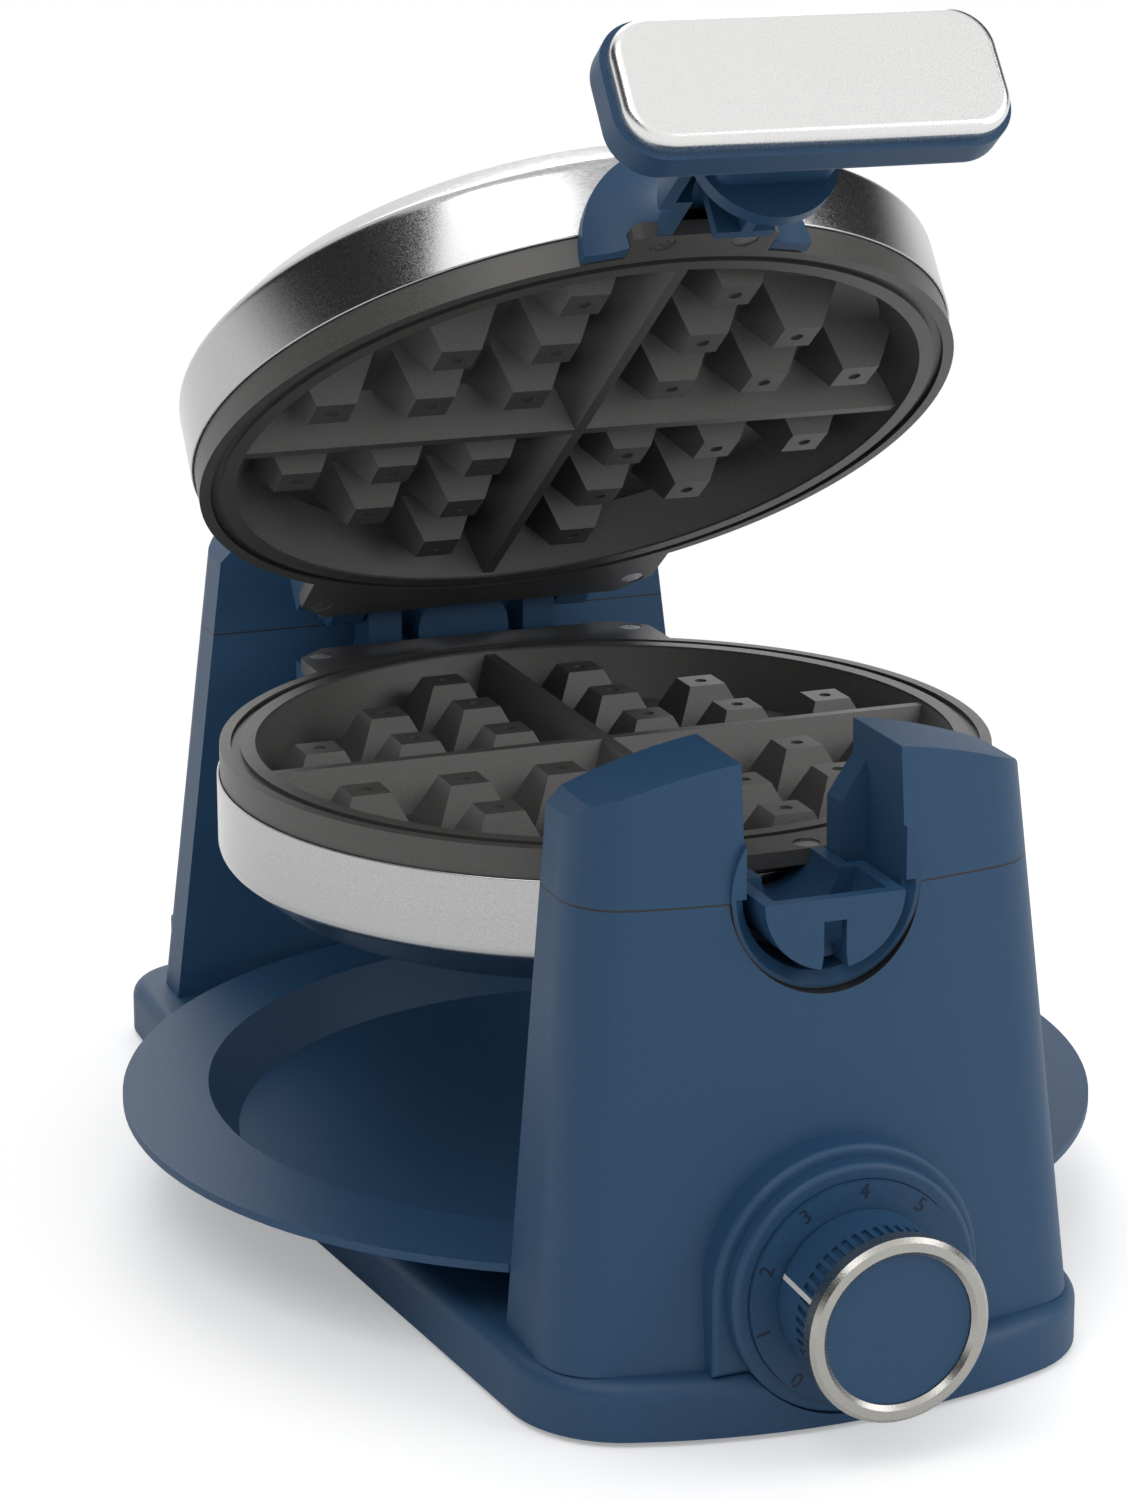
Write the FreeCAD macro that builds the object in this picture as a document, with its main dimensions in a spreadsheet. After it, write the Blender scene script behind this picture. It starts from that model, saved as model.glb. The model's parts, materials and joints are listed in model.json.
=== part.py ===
"""Rotary waffle maker with its lid open, in millimetres, +Z up.

The front, with the knob, faces -Y. Everything is drawn with y = 0 at the centre of the
irons, and at the end it is all moved along Y, so that the origin is on the table under
the middle of the whole object. The irons turn about an axis along Y at axis_height. Their
pieces are drawn about that axis with the parting plane at z = 0 and the lower iron below
it. The upper iron is the same set turned half round the axis and opened on its hinge.
"""
import FreeCAD
import Part
import math
import os

SIZES = {
    # plinth
    "foot_height": 1.5,
    "foot_radius": 9.0,
    "plinth_height": 16.0,
    "plinth_wall": 3.0,
    "plinth_edge": 4.5,
    "plinth_front_half": 76.0,
    "plinth_waist_half": 94.0,
    "plinth_waist_station": 30.0,
    "plinth_bow": 170.0,
    "plinth_corner": 30.0,
    "plinth_rear_bow": 700.0,
    "plinth_rear_corner": 20.0,
    "cover_thickness": 2.0,
    "boss_radius": 5.0,
    "boss_front_x": 50.0,
    "boss_rear_x": 66.0,
    "foot_inset": 20.0,
    "screw_radius": 1.8,
    "screw_head_radius": 3.2,
    "screw_head_height": 1.4,
    # towers
    "tower_wall": 3.0,
    "tower_boss_height": 20.0,
    "tower_boss_inset": 7.5,
    "split_drop": 1.0,
    "front_foot_half": 69.0,
    "front_lean": 0.104,
    "front_taper": 0.082,
    "front_bow": 230.0,
    "front_corner": 16.0,
    "front_solid": 30.0,
    "prong_top": 160.0,
    "prong_dome": 149.0,
    "collar_radius": 24.3,
    "collar_gap": 0.15,
    "collar_sink": 0.456,
    "notch_half": 20.4,
    "collar_bevel": 2.6,
    "saddle_wall": 8.0,
    "saddle_gap": 0.3,
    "lead_in_start": 13.0,
    "lead_in_end": 23.0,
    "rear_foot_half": 84.5,
    "rear_lean": 0.02,
    "rear_taper": 0.122,
    "rear_bow": 420.0,
    "rear_corner": 12.0,
    "rear_top": 156.0,
    "rear_dome": 520.0,
    "top_bevel": 2.5,
    # dial and knob
    "knob_height": 35.0,
    "arch_half": 34.0,
    "arch_depth": 11.5,
    "arch_edge": 1.5,
    "dial_collar_radius": 31.0,
    "dial_collar_height": 4.5,
    "dial_radius": 27.2,
    "dial_gap": 0.2,
    "dial_sink": 1.5,
    "dial_thickness": 3.0,
    "control_neck_radius": 4.5,
    "control_width": 28.0,
    "control_depth": 14.0,
    "nut_across": 12.0,
    "nut_thickness": 2.5,
    "shaft_radius": 3.0,
    "shaft_fit": 0.06,
    "seat_fit": 0.05,
    "knob_radius": 20.6,
    "knob_lift": 0.5,
    "knob_skirt": 10.0,
    "knob_grip": 8.5,
    "knob_wall": 3.0,
    "grip_depth": 0.8,
    "grip_count": 48,
    "knob_ring_radius": 22.5,
    "knob_ring_width": 4.3,
    "knob_ring_depth": 4.5,
    "knob_face_sink": 1.5,
    "pointer_width": 1.2,
    "pointer_angle": 69.5,
    # irons
    "axis_height": 127.0,
    "parting": 0.5,
    "iron_radius": 103.0,
    "plate_band": 7.8,
    "lip_width": 3.0,
    "groove_width": 2.5,
    "groove_depth": 1.3,
    "cavity_depth": 14.0,
    "plate_floor": 4.0,
    "stud_pitch": 26.6,
    "stud_first": 20.4,
    "stud_base": 22.0,
    "stud_top": 10.5,
    "stud_drop": 2.0,
    "dimple_radius": 1.7,
    "dimple_depth": 0.7,
    "rib_base_half": 8.0,
    "rib_top_half": 1.5,
    "rib_drop": 1.2,
    "tab_thickness": 4.0,
    "front_tab_half": 19.0,
    "rear_tab_half": 54.0,
    "rear_tab_slant": 9.0,
    "front_tab_slant": 2.0,
    "front_screw_x": 11.0,
    "rear_screw_x": 48.0,
    "screw_length": 7.0,
    "screw_relief": 0.6,
    "head_sink": 1.7,
    "shell_proud": 0.8,
    "shell_wall": 0.8,
    "shell_height": 19.9,
    "shell_bevel": 10.0,
    "element_radius": 62.0,
    "element_tube": 3.25,
    "element_gap_angle": 30.0,
    "cold_pin_length": 9.0,
    "cold_pin_radius": 2.2,
    # front hubs and handle
    "rim_clearance": 0.2,
    "shoulder_radius": 30.0,
    "shoulder_wall": 5.0,
    "shoulder_gap": 0.8,
    "flare_share": 0.35,
    "neck_radius": 13.5,
    "neck_bore": 10.0,
    "drum_radius": 17.9,
    "drum_bore": 14.5,
    "drum_wall": 3.0,
    "slot_half": 2.9,
    "slot_drop": 6.0,
    "disc_gap": 0.6,
    "disc_radius": 18.2,
    "disc_thickness": 4.0,
    "tongue_half": 7.5,
    "tongue_drop": 10.0,
    "tongue_thickness": 3.0,
    "handle_width": 98.0,
    "handle_height": 36.0,
    "handle_corner": 12.0,
    "handle_body": 10.0,
    "handle_edge": 3.0,
    "handle_cap": 5.0,
    "cap_inset": 1.6,
    "cap_edge": 2.4,
    "stem_half": 15.0,
    "stem_height_half": 9.0,
    "handle_screw_x": 7.0,
    "handle_screw_drop": 7.0,
    # rear brackets, hinge and axle
    "bracket_half": 52.0,
    "bracket_height": 13.5,
    "pivot_boss_radius": 14.0,
    "boss_relief": 1.5,
    "hinge_rise": 10.0,
    "hinge_eye": 7.0,
    "pin_radius": 3.0,
    "pin_head_radius": 4.6,
    "pin_head_height": 2.0,
    "ear_inner": 19.0,
    "ear_width": 10.0,
    "ear_gap": 1.0,
    "tube_radius": 10.0,
    "tube_wall": 2.5,
    "bush_radius": 13.0,
    "bush_length": 18.0,
    "bush_fit": 0.08,
    "clip_width": 1.6,
    "clip_reach": 3.0,
    "clip_gap": 0.4,
    "chamber_radius": 15.5,
    "lid_angle": 36.7,
    # mains side
    "gland_radius": 6.0,
    "gland_flange": 9.0,
    "gland_flange_height": 3.0,
    "gland_x": -46.0,
    "gland_height": 34.0,
    "gland_bore": 3.2,
    "block_width": 40.0,
    "block_depth": 13.0,
    "block_height": 18.0,
    "block_low": 36.0,
    # drip tray
    "tray_rim_height": 32.0,
    "tray_rim_drop": 1.0,
    "tray_wall": 2.2,
    "tray_clearance": 0.3,
    "tray_tower_gap": 1.0,
}

# distances along Y or outwards, each from the irons' rim; a minus lies inside it
BEYOND_RIM = {
    "plinth_front": 60.0,
    "plinth_rear": 73.0,
    "plinth_front_station": 9.0,
    "front_inner": 10.0,
    "front_foot_outer": 53.0,
    "arch_face": 55.5,
    "rear_inner": 34.0,
    "rear_outer": 65.0,
    "front_tab_reach": 9.0,
    "rear_tab_reach": 10.0,
    "front_screw_y": 4.5,
    "rear_screw_y": 1.5,
    "drum_rear": 22.5,
    "drum_front": 46.0,
    "tongue_station": 26.0,
    "fin_reach": 38.0,
    "handle_face": 85.0,
    "bracket_rear": 13.0,
    "pivot_boss_rear": 31.0,
    "hinge_station": 22.0,
    "tube_start": 15.0,
    "tube_end": 59.5,
    "tray_radius": 28.0,
    "tray_mouth_radius": 5.0,
    "tray_floor_radius": -3.0,
    "cavity_radius": -9.5,
    "cavity_floor_radius": -17.0,
    "shell_bottom_radius": -11.0,
}

doc = FreeCAD.newDocument("WaffleMaker")
sheet = doc.addObject("Spreadsheet::Sheet", "sizes")
cells = {alias: str(number) for alias, number in SIZES.items()}
cells.update({alias: "=iron_radius + %r" % number for alias, number in BEYOND_RIM.items()})
# the collar runs from the front tower's inner face to just under its leaning outer face
cells["collar_depth"] = ("=front_foot_outer - front_lean * (axis_height - plinth_height)"
                         " - collar_sink - front_inner")
for row, (alias, content) in enumerate(cells.items(), start=1):
    sheet.set("A%d" % row, alias)
    sheet.setAlias("B%d" % row, alias)
    sheet.set("B%d" % row, content)
doc.recompute()


class Sizes:
    """The sheet's values as attributes, for outlines that are worked out in code."""

    def __getattr__(self, alias):
        return float(sheet.get(alias))


S = Sizes()
PIECES = []
UP = FreeCAD.Vector(0, 0, 1)
LID_SIDE = 180.0  # half a turn about the irons' axis, from the lower iron's side to the lid's


# drawing helpers

def point(x, y):
    return FreeCAD.Vector(x, y, 0)


def new_body(label):
    """A body that becomes one exported piece."""
    body = doc.addObject("PartDesign::Body", label)
    body.Label = label
    PIECES.append(body)
    return body


def new_sketch(body, name, role, offset=None):
    """An empty sketch on an origin plane, moved along its normal by a sheet formula.

    On XZ_Plane the normal is -Y, so a positive offset lies towards the front.
    """
    sketch = body.newObject("Sketcher::SketchObject", "%s_%s" % (body.Name, name))
    plane = next(p for p in body.Origin.OriginFeatures if p.Role == role)
    sketch.AttachmentSupport = [(plane, "")]
    sketch.MapMode = "FlatFace"
    if offset is not None:
        sketch.setExpression("AttachmentOffset.Base.z", offset)
    return sketch


def draw_lines(sketch, points):
    """A closed outline of straight lines."""
    for start, end in zip(points, points[1:] + points[:1]):
        sketch.addGeometry(Part.LineSegment(point(*start), point(*end)), False)


def draw_path(sketch, steps):
    """Lines and arcs in order. Each step is two points, or three for an arc."""
    for step in steps:
        ends = [point(*p) for p in step]
        edge = Part.LineSegment(*ends) if len(ends) == 2 else Part.ArcOfCircle(*ends)
        sketch.addGeometry(edge, False)


def draw_box(sketch, x0, y0, x1, y1):
    draw_lines(sketch, [(x0, y0), (x1, y0), (x1, y1), (x0, y1)])


def draw_circle(sketch, x, y, radius):
    sketch.addGeometry(Part.Circle(point(x, y), UP, radius), False)


def draw_rounded_box(sketch, half_x, half_y, corner):
    """A centred rectangle with round corners."""
    steps = []
    bend = corner * (1 - math.sqrt(0.5))
    for sx, sy in ((1, 1), (-1, 1), (-1, -1), (1, -1)):
        ends = [(sx * half_x, sy * (half_y - corner)), (sx * (half_x - corner), sy * half_y)]
        middle = (sx * (half_x - bend), sy * (half_y - bend))
        start, end = ends if sx * sy > 0 else ends[::-1]
        steps.append((start, middle, end))
    sides = [(a[2], b[0]) for a, b in zip(steps, steps[1:] + steps[:1])]
    draw_path(sketch, steps + sides)


def add(body, kind, sketch, **expressions):
    """A sketch-based feature whose named sizes are bound to sheet formulas."""
    feature = body.newObject("PartDesign::" + kind, "%s_%s" % (sketch.Name, kind))
    feature.Profile = sketch
    for name, formula in expressions.items():
        feature.setExpression(name, formula)
    return feature


def pad(body, sketch, length, backwards=False, both_ways=False):
    feature = add(body, "Pad", sketch, Length=length)
    feature.Reversed = backwards
    if both_ways:
        feature.SideType = "Symmetric"
    doc.recompute()
    return feature


def pocket(body, sketch, length, backwards=False):
    """Cuts against the sketch's normal, or along it when backwards."""
    feature = add(body, "Pocket", sketch, Length=length)
    feature.Reversed = backwards
    before = feature.BaseFeature.Shape.Volume
    doc.recompute()
    if feature.Shape.Volume >= before:
        raise RuntimeError("pocket %s cuts nothing" % feature.Name)
    return feature


def revolve(body, sketch, axis, angle=360.0):
    """Turns the sketch about its own axis, to both sides when the angle is partial."""
    feature = body.newObject("PartDesign::Revolution", sketch.Name + "_turn")
    feature.Profile = sketch
    feature.ReferenceAxis = (sketch, [axis])
    feature.Angle = angle
    feature.Midplane = angle < 360.0
    doc.recompute()
    return feature


def loft(body, kind, lower, upper):
    feature = body.newObject("PartDesign::" + kind, lower.Name + "_loft")
    feature.Profile = lower
    feature.Sections = [upper]
    feature.Ruled = True
    doc.recompute()
    return feature


def round_edges(body, base, radius, wanted):
    """Fillets the edges of the base feature that the test picks."""
    names = ["Edge%d" % n for n, edge in enumerate(base.Shape.Edges, start=1) if wanted(edge)]
    feature = body.newObject("PartDesign::Fillet", base.Name + "_round")
    feature.Base = (base, names)
    feature.setExpression("Radius", radius)
    doc.recompute()
    return feature


def edge_at_height(height, tolerance=0.01):
    """Picks edges that lie wholly in the plane z = height."""
    return lambda edge: abs(edge.BoundBox.ZMin - height) < tolerance > abs(edge.BoundBox.ZMax - height)


def edge_at_station(station, tolerance=0.01):
    """Picks edges that lie wholly in the plane y = station."""
    return lambda edge: abs(edge.BoundBox.YMin - station) < tolerance > abs(edge.BoundBox.YMax - station)


def stepped_pin(base, direction, steps):
    """One fastener: cylinders of (radius, length) end to end along the direction."""
    solid = None
    along = 0.0
    for radius, length in steps:
        step = Part.makeCylinder(radius, length, base + direction * along, direction)
        solid = step if solid is None else solid.fuse(step)
        along += length
    return solid.removeSplitter()


def fastener_group(label, pins):
    """Separate fasteners as one piece."""
    piece = doc.addObject("Part::Feature", label)
    piece.Label = label
    piece.Shape = Part.makeCompound(pins)
    PIECES.append(piece)
    return piece


# places

def iron_place(turn, opening):
    """Puts iron pieces at the axis: turned half round for the lid, then opened on the hinge."""
    axis_point = FreeCAD.Vector(0, 0, S.axis_height)
    lie = FreeCAD.Placement(axis_point, FreeCAD.Rotation(FreeCAD.Vector(0, 1, 0), turn))
    hinge = FreeCAD.Vector(0, S.hinge_station, S.axis_height + S.hinge_rise)
    swing = FreeCAD.Placement(FreeCAD.Vector(), FreeCAD.Rotation(FreeCAD.Vector(1, 0, 0), -opening), hinge)
    return swing.multiply(lie)


def place_iron(piece, upper):
    piece.Placement = iron_place(LID_SIDE, S.lid_angle) if upper else iron_place(0.0, 0.0)


# plan outlines

def line_to_bow(start, end, centre, radius, corner):
    """Corner arc between the line start to end and the bow circle that it runs into."""
    dx, dy = end[0] - start[0], end[1] - start[1]
    length = math.hypot(dx, dy)
    ux, uy = dx / length, dy / length
    side = 1 if ux * (centre[1] - start[1]) - uy * (centre[0] - start[0]) > 0 else -1
    nx, ny = -uy * side, ux * side
    px, py = start[0] + nx * corner - centre[0], start[1] + ny * corner - centre[1]
    along = px * ux + py * uy
    reach = -along + math.sqrt(along ** 2 - px ** 2 - py ** 2 + (radius - corner) ** 2)
    fx, fy = centre[0] + px + ux * reach, centre[1] + py + uy * reach
    on_line = (fx - nx * corner, fy - ny * corner)
    scale = radius / (radius - corner)
    on_bow = (centre[0] + (fx - centre[0]) * scale, centre[1] + (fy - centre[1]) * scale)
    mx, my = on_line[0] + on_bow[0] - 2 * fx, on_line[1] + on_bow[1] - 2 * fy
    bulge = corner / math.hypot(mx, my)
    return on_line, (fx + mx * bulge, fy + my * bulge), on_bow


def mirror(p):
    return (-p[0], p[1])


def draw_tower_plan(sketch, half, inner, outer, bow, corner):
    """Straight inner side and flanks, round outer corners and a bowed outer face."""
    facing = 1 if outer > inner else -1
    centre = (0, outer - facing * bow)
    arc = line_to_bow((half, inner), (half, outer), centre, bow, corner)
    draw_path(sketch, [
        (mirror((half, inner)), (half, inner)),
        ((half, inner), arc[0]),
        arc,
        (arc[2], (0, outer), mirror(arc[2])),
        tuple(mirror(p) for p in arc[::-1]),
        (mirror(arc[0]), mirror((half, inner))),
    ])


def draw_plinth_plan(sketch, inset):
    """Bowed ends, round corners, and flanks that widen from the front to a waist."""
    front = -(S.plinth_front - inset)
    rear = S.plinth_rear - inset
    bow = S.plinth_bow - inset
    corner = S.plinth_corner - inset
    waist = (S.plinth_waist_half - inset, S.plinth_waist_station)
    toe = (S.plinth_front_half - inset, -S.plinth_front_station)
    front_arc = line_to_bow(waist, toe, (0, front + bow), bow, corner)
    rear_bow = S.plinth_rear_bow - inset
    rear_corner = S.plinth_rear_corner - inset
    rear_arc = line_to_bow(waist, (waist[0], rear), (0, rear - rear_bow), rear_bow, rear_corner)
    right = [
        (front_arc[0], waist),
        (waist, rear_arc[0]),
        rear_arc,
        front_arc,
    ]
    left = [tuple(mirror(p) for p in step[::-1]) for step in right]
    draw_path(sketch, right + left + [
        (rear_arc[2], (0, rear), mirror(rear_arc[2])),
        (front_arc[2], (0, front), mirror(front_arc[2])),
    ])


def plinth_boss_points():
    """Where the cover's screws and the feet go, left and right at both ends."""
    return [(side * x, y) for side in (-1, 1)
            for x, y in ((S.boss_front_x, -S.front_inner), (S.boss_rear_x, S.rear_inner))]


def tower_boss_points():
    """Where each tower is screwed to the plinth: (x, y) pairs, front pair first."""
    front = (S.front_foot_half - S.tower_boss_inset, -(S.front_inner + S.tower_boss_inset))
    rear = (S.rear_foot_half - S.tower_boss_inset, (S.rear_inner + S.rear_outer) / 2)
    return [mirror(front), front, mirror(rear), rear]


# base

def build_plinth():
    body = new_body("base_plinth")
    base = new_sketch(body, "plan", "XY_Plane", "sizes.foot_height")
    draw_plinth_plan(base, 0.0)
    block = pad(body, base, "sizes.plinth_height - sizes.foot_height")
    block = round_edges(body, block, "sizes.plinth_edge", edge_at_height(S.plinth_height))
    hollow = new_sketch(body, "hollow", "XY_Plane", "sizes.foot_height")
    draw_plinth_plan(hollow, S.plinth_wall)
    pocket(body, hollow, "sizes.plinth_height - sizes.foot_height - sizes.plinth_wall", backwards=True)
    bosses = new_sketch(body, "bosses", "XY_Plane", "sizes.foot_height + sizes.cover_thickness")
    for x, y in plinth_boss_points():
        draw_circle(bosses, x, y, S.boss_radius)
    pad(body, bosses, "sizes.plinth_height - sizes.plinth_wall - sizes.foot_height - sizes.cover_thickness")
    holes = new_sketch(body, "holes", "XY_Plane", "sizes.foot_height + sizes.cover_thickness")
    for x, y in plinth_boss_points():
        draw_circle(holes, x, y, S.screw_radius + S.seat_fit)
    pocket(body, holes, "sizes.screw_length", backwards=True)
    through = new_sketch(body, "through", "XY_Plane", "sizes.foot_height")
    for x, y in tower_boss_points():
        draw_circle(through, x, y, S.screw_radius + S.seat_fit)
    pocket(body, through, "sizes.plinth_height", backwards=True)
    recess = new_sketch(body, "dial_recess", "XZ_Plane", "sizes.plinth_front + 1")
    draw_circle(recess, 0, S.knob_height, S.dial_collar_radius + S.dial_gap)
    pocket(body, recess, "sizes.plinth_front + 1 - sizes.arch_face + sizes.dial_sink + sizes.dial_gap")


def build_cover():
    body = new_body("bottom_cover")
    plan = new_sketch(body, "plan", "XY_Plane", "sizes.foot_height")
    draw_plinth_plan(plan, S.plinth_wall + S.dial_gap)
    pad(body, plan, "sizes.cover_thickness")
    holes = new_sketch(body, "holes", "XY_Plane", "sizes.foot_height")
    for x, y in plinth_boss_points():
        draw_circle(holes, x, y, S.screw_radius + S.seat_fit)
    pocket(body, holes, "sizes.cover_thickness", backwards=True)


def build_base_fasteners():
    sink = UP * (S.foot_height - S.screw_head_height)
    shank = S.cover_thickness + S.screw_length - S.screw_relief
    steps = [(S.screw_head_radius, S.screw_head_height), (S.screw_radius, shank)]
    screws = [stepped_pin(point(x, y) + sink, UP, steps) for x, y in plinth_boss_points()]
    fastener_group("base_screws", screws)
    under = UP * (S.plinth_height - S.plinth_wall - S.screw_head_height)
    steps = [(S.screw_head_radius, S.screw_head_height), (S.screw_radius, S.plinth_wall + S.screw_length)]
    screws = [stepped_pin(point(x, y) + under, UP, steps) for x, y in tower_boss_points()]
    fastener_group("tower_screws", screws)
    feet = []
    for x, y in plinth_boss_points():
        foot = FreeCAD.Vector(x, y - math.copysign(S.foot_inset, y), 0)
        feet.append(stepped_pin(foot, UP, [(S.foot_radius, S.foot_height)]))
    fastener_group("rubber_feet", feet)


# towers

def split_height():
    return S.axis_height - S.split_drop


def front_plan(sketch, height, inset=0.0):
    """The front tower narrows and leans back with height."""
    rise = height - S.plinth_height
    half = S.front_foot_half - S.front_taper * rise - inset
    outer = -(S.front_foot_outer - S.front_lean * rise - inset)
    draw_tower_plan(sketch, half, -(S.front_inner + inset), outer, S.front_bow, S.front_corner - inset)


def rear_plan(sketch, height, inset=0.0):
    """The rear tower narrows with height and leans a little forward."""
    rise = height - S.plinth_height
    half = S.rear_foot_half - S.rear_taper * rise - inset
    outer = S.rear_outer - S.rear_lean * rise - inset
    draw_tower_plan(sketch, half, S.rear_inner + inset, outer, S.rear_bow, S.rear_corner - inset)


def tower_loft(body, kind, name, plan, heights, inset=0.0):
    """A loft between two level plans of a tower. Heights are (value, sheet formula) pairs."""
    ends = []
    for tag, (height, formula) in zip(("low", "high"), heights):
        sketch = new_sketch(body, name + "_" + tag, "XY_Plane", formula)
        plan(sketch, height, inset)
        ends.append(sketch)
    return loft(body, kind, *ends)


def tower_bosses(body, points):
    """Screw bosses that stand on the plinth inside a tower."""
    bosses = new_sketch(body, "bosses", "XY_Plane", "sizes.plinth_height")
    for x, y in points:
        draw_circle(bosses, x, y, S.boss_radius)
    pad(body, bosses, "sizes.tower_boss_height")
    holes = new_sketch(body, "boss_holes", "XY_Plane", "sizes.plinth_height")
    for x, y in points:
        draw_circle(holes, x, y, S.screw_radius + S.seat_fit)
    pocket(body, holes, "sizes.screw_length + sizes.screw_relief", backwards=True)


def draw_arch(sketch):
    """Half round over the knob with straight sides down to the plinth."""
    half, middle, foot = S.arch_half, S.knob_height, S.plinth_height
    draw_path(sketch, [
        ((half, middle), (0, middle + half), (-half, middle)),
        ((-half, middle), (-half, foot)),
        ((-half, foot), (half, foot)),
        ((half, foot), (half, middle)),
    ])


def build_front_tower():
    body = new_body("front_tower")
    foot = (S.plinth_height, "sizes.plinth_height")
    split = (split_height(), "sizes.axis_height - sizes.split_drop")
    ceiling = (split_height() - S.front_solid, "sizes.axis_height - sizes.split_drop - sizes.front_solid")
    tower_loft(body, "AdditiveLoft", "outer", front_plan, (foot, split))
    tower_loft(body, "SubtractiveLoft", "hollow", front_plan, (foot, ceiling), S.tower_wall)
    arch = new_sketch(body, "arch", "XZ_Plane", "sizes.arch_face")
    draw_arch(arch)
    arched = pad(body, arch, "sizes.arch_depth", backwards=True)
    round_edges(body, arched, "sizes.arch_edge", edge_at_station(-S.arch_face))
    collar = new_sketch(body, "collar", "XZ_Plane", "sizes.arch_face - sizes.dial_sink")
    draw_circle(collar, 0, S.knob_height, S.dial_collar_radius)
    raised = pad(body, collar, "sizes.dial_collar_height + sizes.dial_sink")
    round_edges(body, raised, "sizes.arch_edge", edge_at_station(-(S.arch_face + S.dial_collar_height)))
    recess = new_sketch(body, "recess", "XZ_Plane", "sizes.arch_face + sizes.dial_collar_height")
    draw_circle(recess, 0, S.knob_height, S.dial_radius + S.dial_gap)
    pocket(body, recess, "sizes.dial_sink")
    hole = new_sketch(body, "hole", "XZ_Plane", "sizes.arch_face + sizes.dial_collar_height")
    draw_circle(hole, 0, S.knob_height, S.control_neck_radius + S.dial_gap)
    pocket(body, hole, "sizes.dial_collar_height + sizes.arch_depth + sizes.tower_wall")
    cut = new_sketch(body, "collar_cut", "XZ_Plane", "sizes.front_foot_outer")
    draw_circle(cut, 0, S.axis_height, S.collar_radius)
    pocket(body, cut, "sizes.front_foot_outer")
    tower_bosses(body, tower_boss_points()[:2])


def draw_u_notch(sketch, half, widen=None):
    """A half round about the axis, open upwards, with an optional lead-in above."""
    top = S.prong_top + S.prong_dome
    right = [(half, S.axis_height)]
    if widen:
        right.append((half, S.axis_height + S.lead_in_start))
        right.append((widen, S.axis_height + S.lead_in_end))
    right.append((right[-1][0], top))
    left = [mirror(p) for p in right[::-1]]
    chain = right + left
    steps = list(zip(chain, chain[1:]))
    steps.append((left[-1], (0, S.axis_height - half), right[0]))
    draw_path(sketch, steps)


def draw_dome(sketch, top, radius, flank, bevel):
    """Everything above a shallow arch with bevelled ends."""
    inner = (flank - bevel, top - radius + math.sqrt(radius ** 2 - (flank - bevel) ** 2))
    outer = (flank + 2 * bevel, inner[1] - 3 * bevel)
    corner = (outer[0], top + bevel)
    draw_path(sketch, [
        (mirror(inner), (0, top), inner),
        (inner, outer),
        (outer, corner),
        (corner, mirror(corner)),
        (mirror(corner), mirror(outer)),
        (mirror(outer), mirror(inner)),
    ])


def build_front_cap():
    body = new_body("front_tower_cap")
    split = (split_height(), "sizes.axis_height - sizes.split_drop")
    top = (S.prong_top, "sizes.prong_top")
    tower_loft(body, "AdditiveLoft", "outer", front_plan, (split, top))
    collar = new_sketch(body, "collar", "XZ_Plane", "sizes.front_inner")
    draw_circle(collar, 0, S.axis_height, S.collar_radius - S.collar_gap)
    pad(body, collar, "sizes.collar_depth")
    dome = new_sketch(body, "dome", "XZ_Plane", "sizes.front_foot_outer")
    flank = S.front_foot_half - S.front_taper * (S.prong_top - S.plinth_height)
    draw_dome(dome, S.prong_top, S.prong_dome, flank, S.top_bevel)
    pocket(body, dome, "sizes.front_foot_outer")
    notch = new_sketch(body, "notch", "XZ_Plane", "sizes.front_foot_outer")
    draw_u_notch(notch, S.notch_half)
    pocket(body, notch, "sizes.front_foot_outer - sizes.front_inner - sizes.saddle_wall")
    saddle = new_sketch(body, "saddle", "XZ_Plane", "sizes.front_foot_outer")
    draw_u_notch(saddle, S.neck_radius + S.saddle_gap, widen=S.notch_half)
    pocket(body, saddle, "sizes.front_foot_outer")
    bevel = new_sketch(body, "bevel", "YZ_Plane")
    bevel.setExpression("AttachmentOffset.Base.y", "sizes.axis_height")
    mouth = -S.front_foot_outer
    throat = -(S.front_inner + S.collar_depth - S.collar_bevel)
    draw_lines(bevel, [
        (mouth, S.notch_half / -2),
        (throat, S.notch_half / -2),
        (throat, -S.notch_half),
        (mouth, -S.notch_half - (throat - mouth)),
    ])
    groove = body.newObject("PartDesign::Groove", "collar_bevel_cut")
    groove.Profile = bevel
    groove.ReferenceAxis = (bevel, ["H_Axis"])
    groove.Angle = 180.0
    groove.Midplane = True
    doc.recompute()


def rear_bores(body):
    """Seat for the bush and the chamber behind it for the axle's clip."""
    seat = new_sketch(body, "seat", "XZ_Plane", "-sizes.rear_inner")
    draw_circle(seat, 0, S.axis_height, S.bush_radius + S.seat_fit)
    pocket(body, seat, "sizes.bush_length")
    chamber = new_sketch(body, "chamber", "XZ_Plane", "-(sizes.rear_inner + sizes.bush_length)")
    draw_circle(chamber, 0, S.axis_height, S.chamber_radius)
    pocket(body, chamber, "sizes.tube_end - sizes.rear_inner - sizes.bush_length + sizes.clip_gap")


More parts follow.
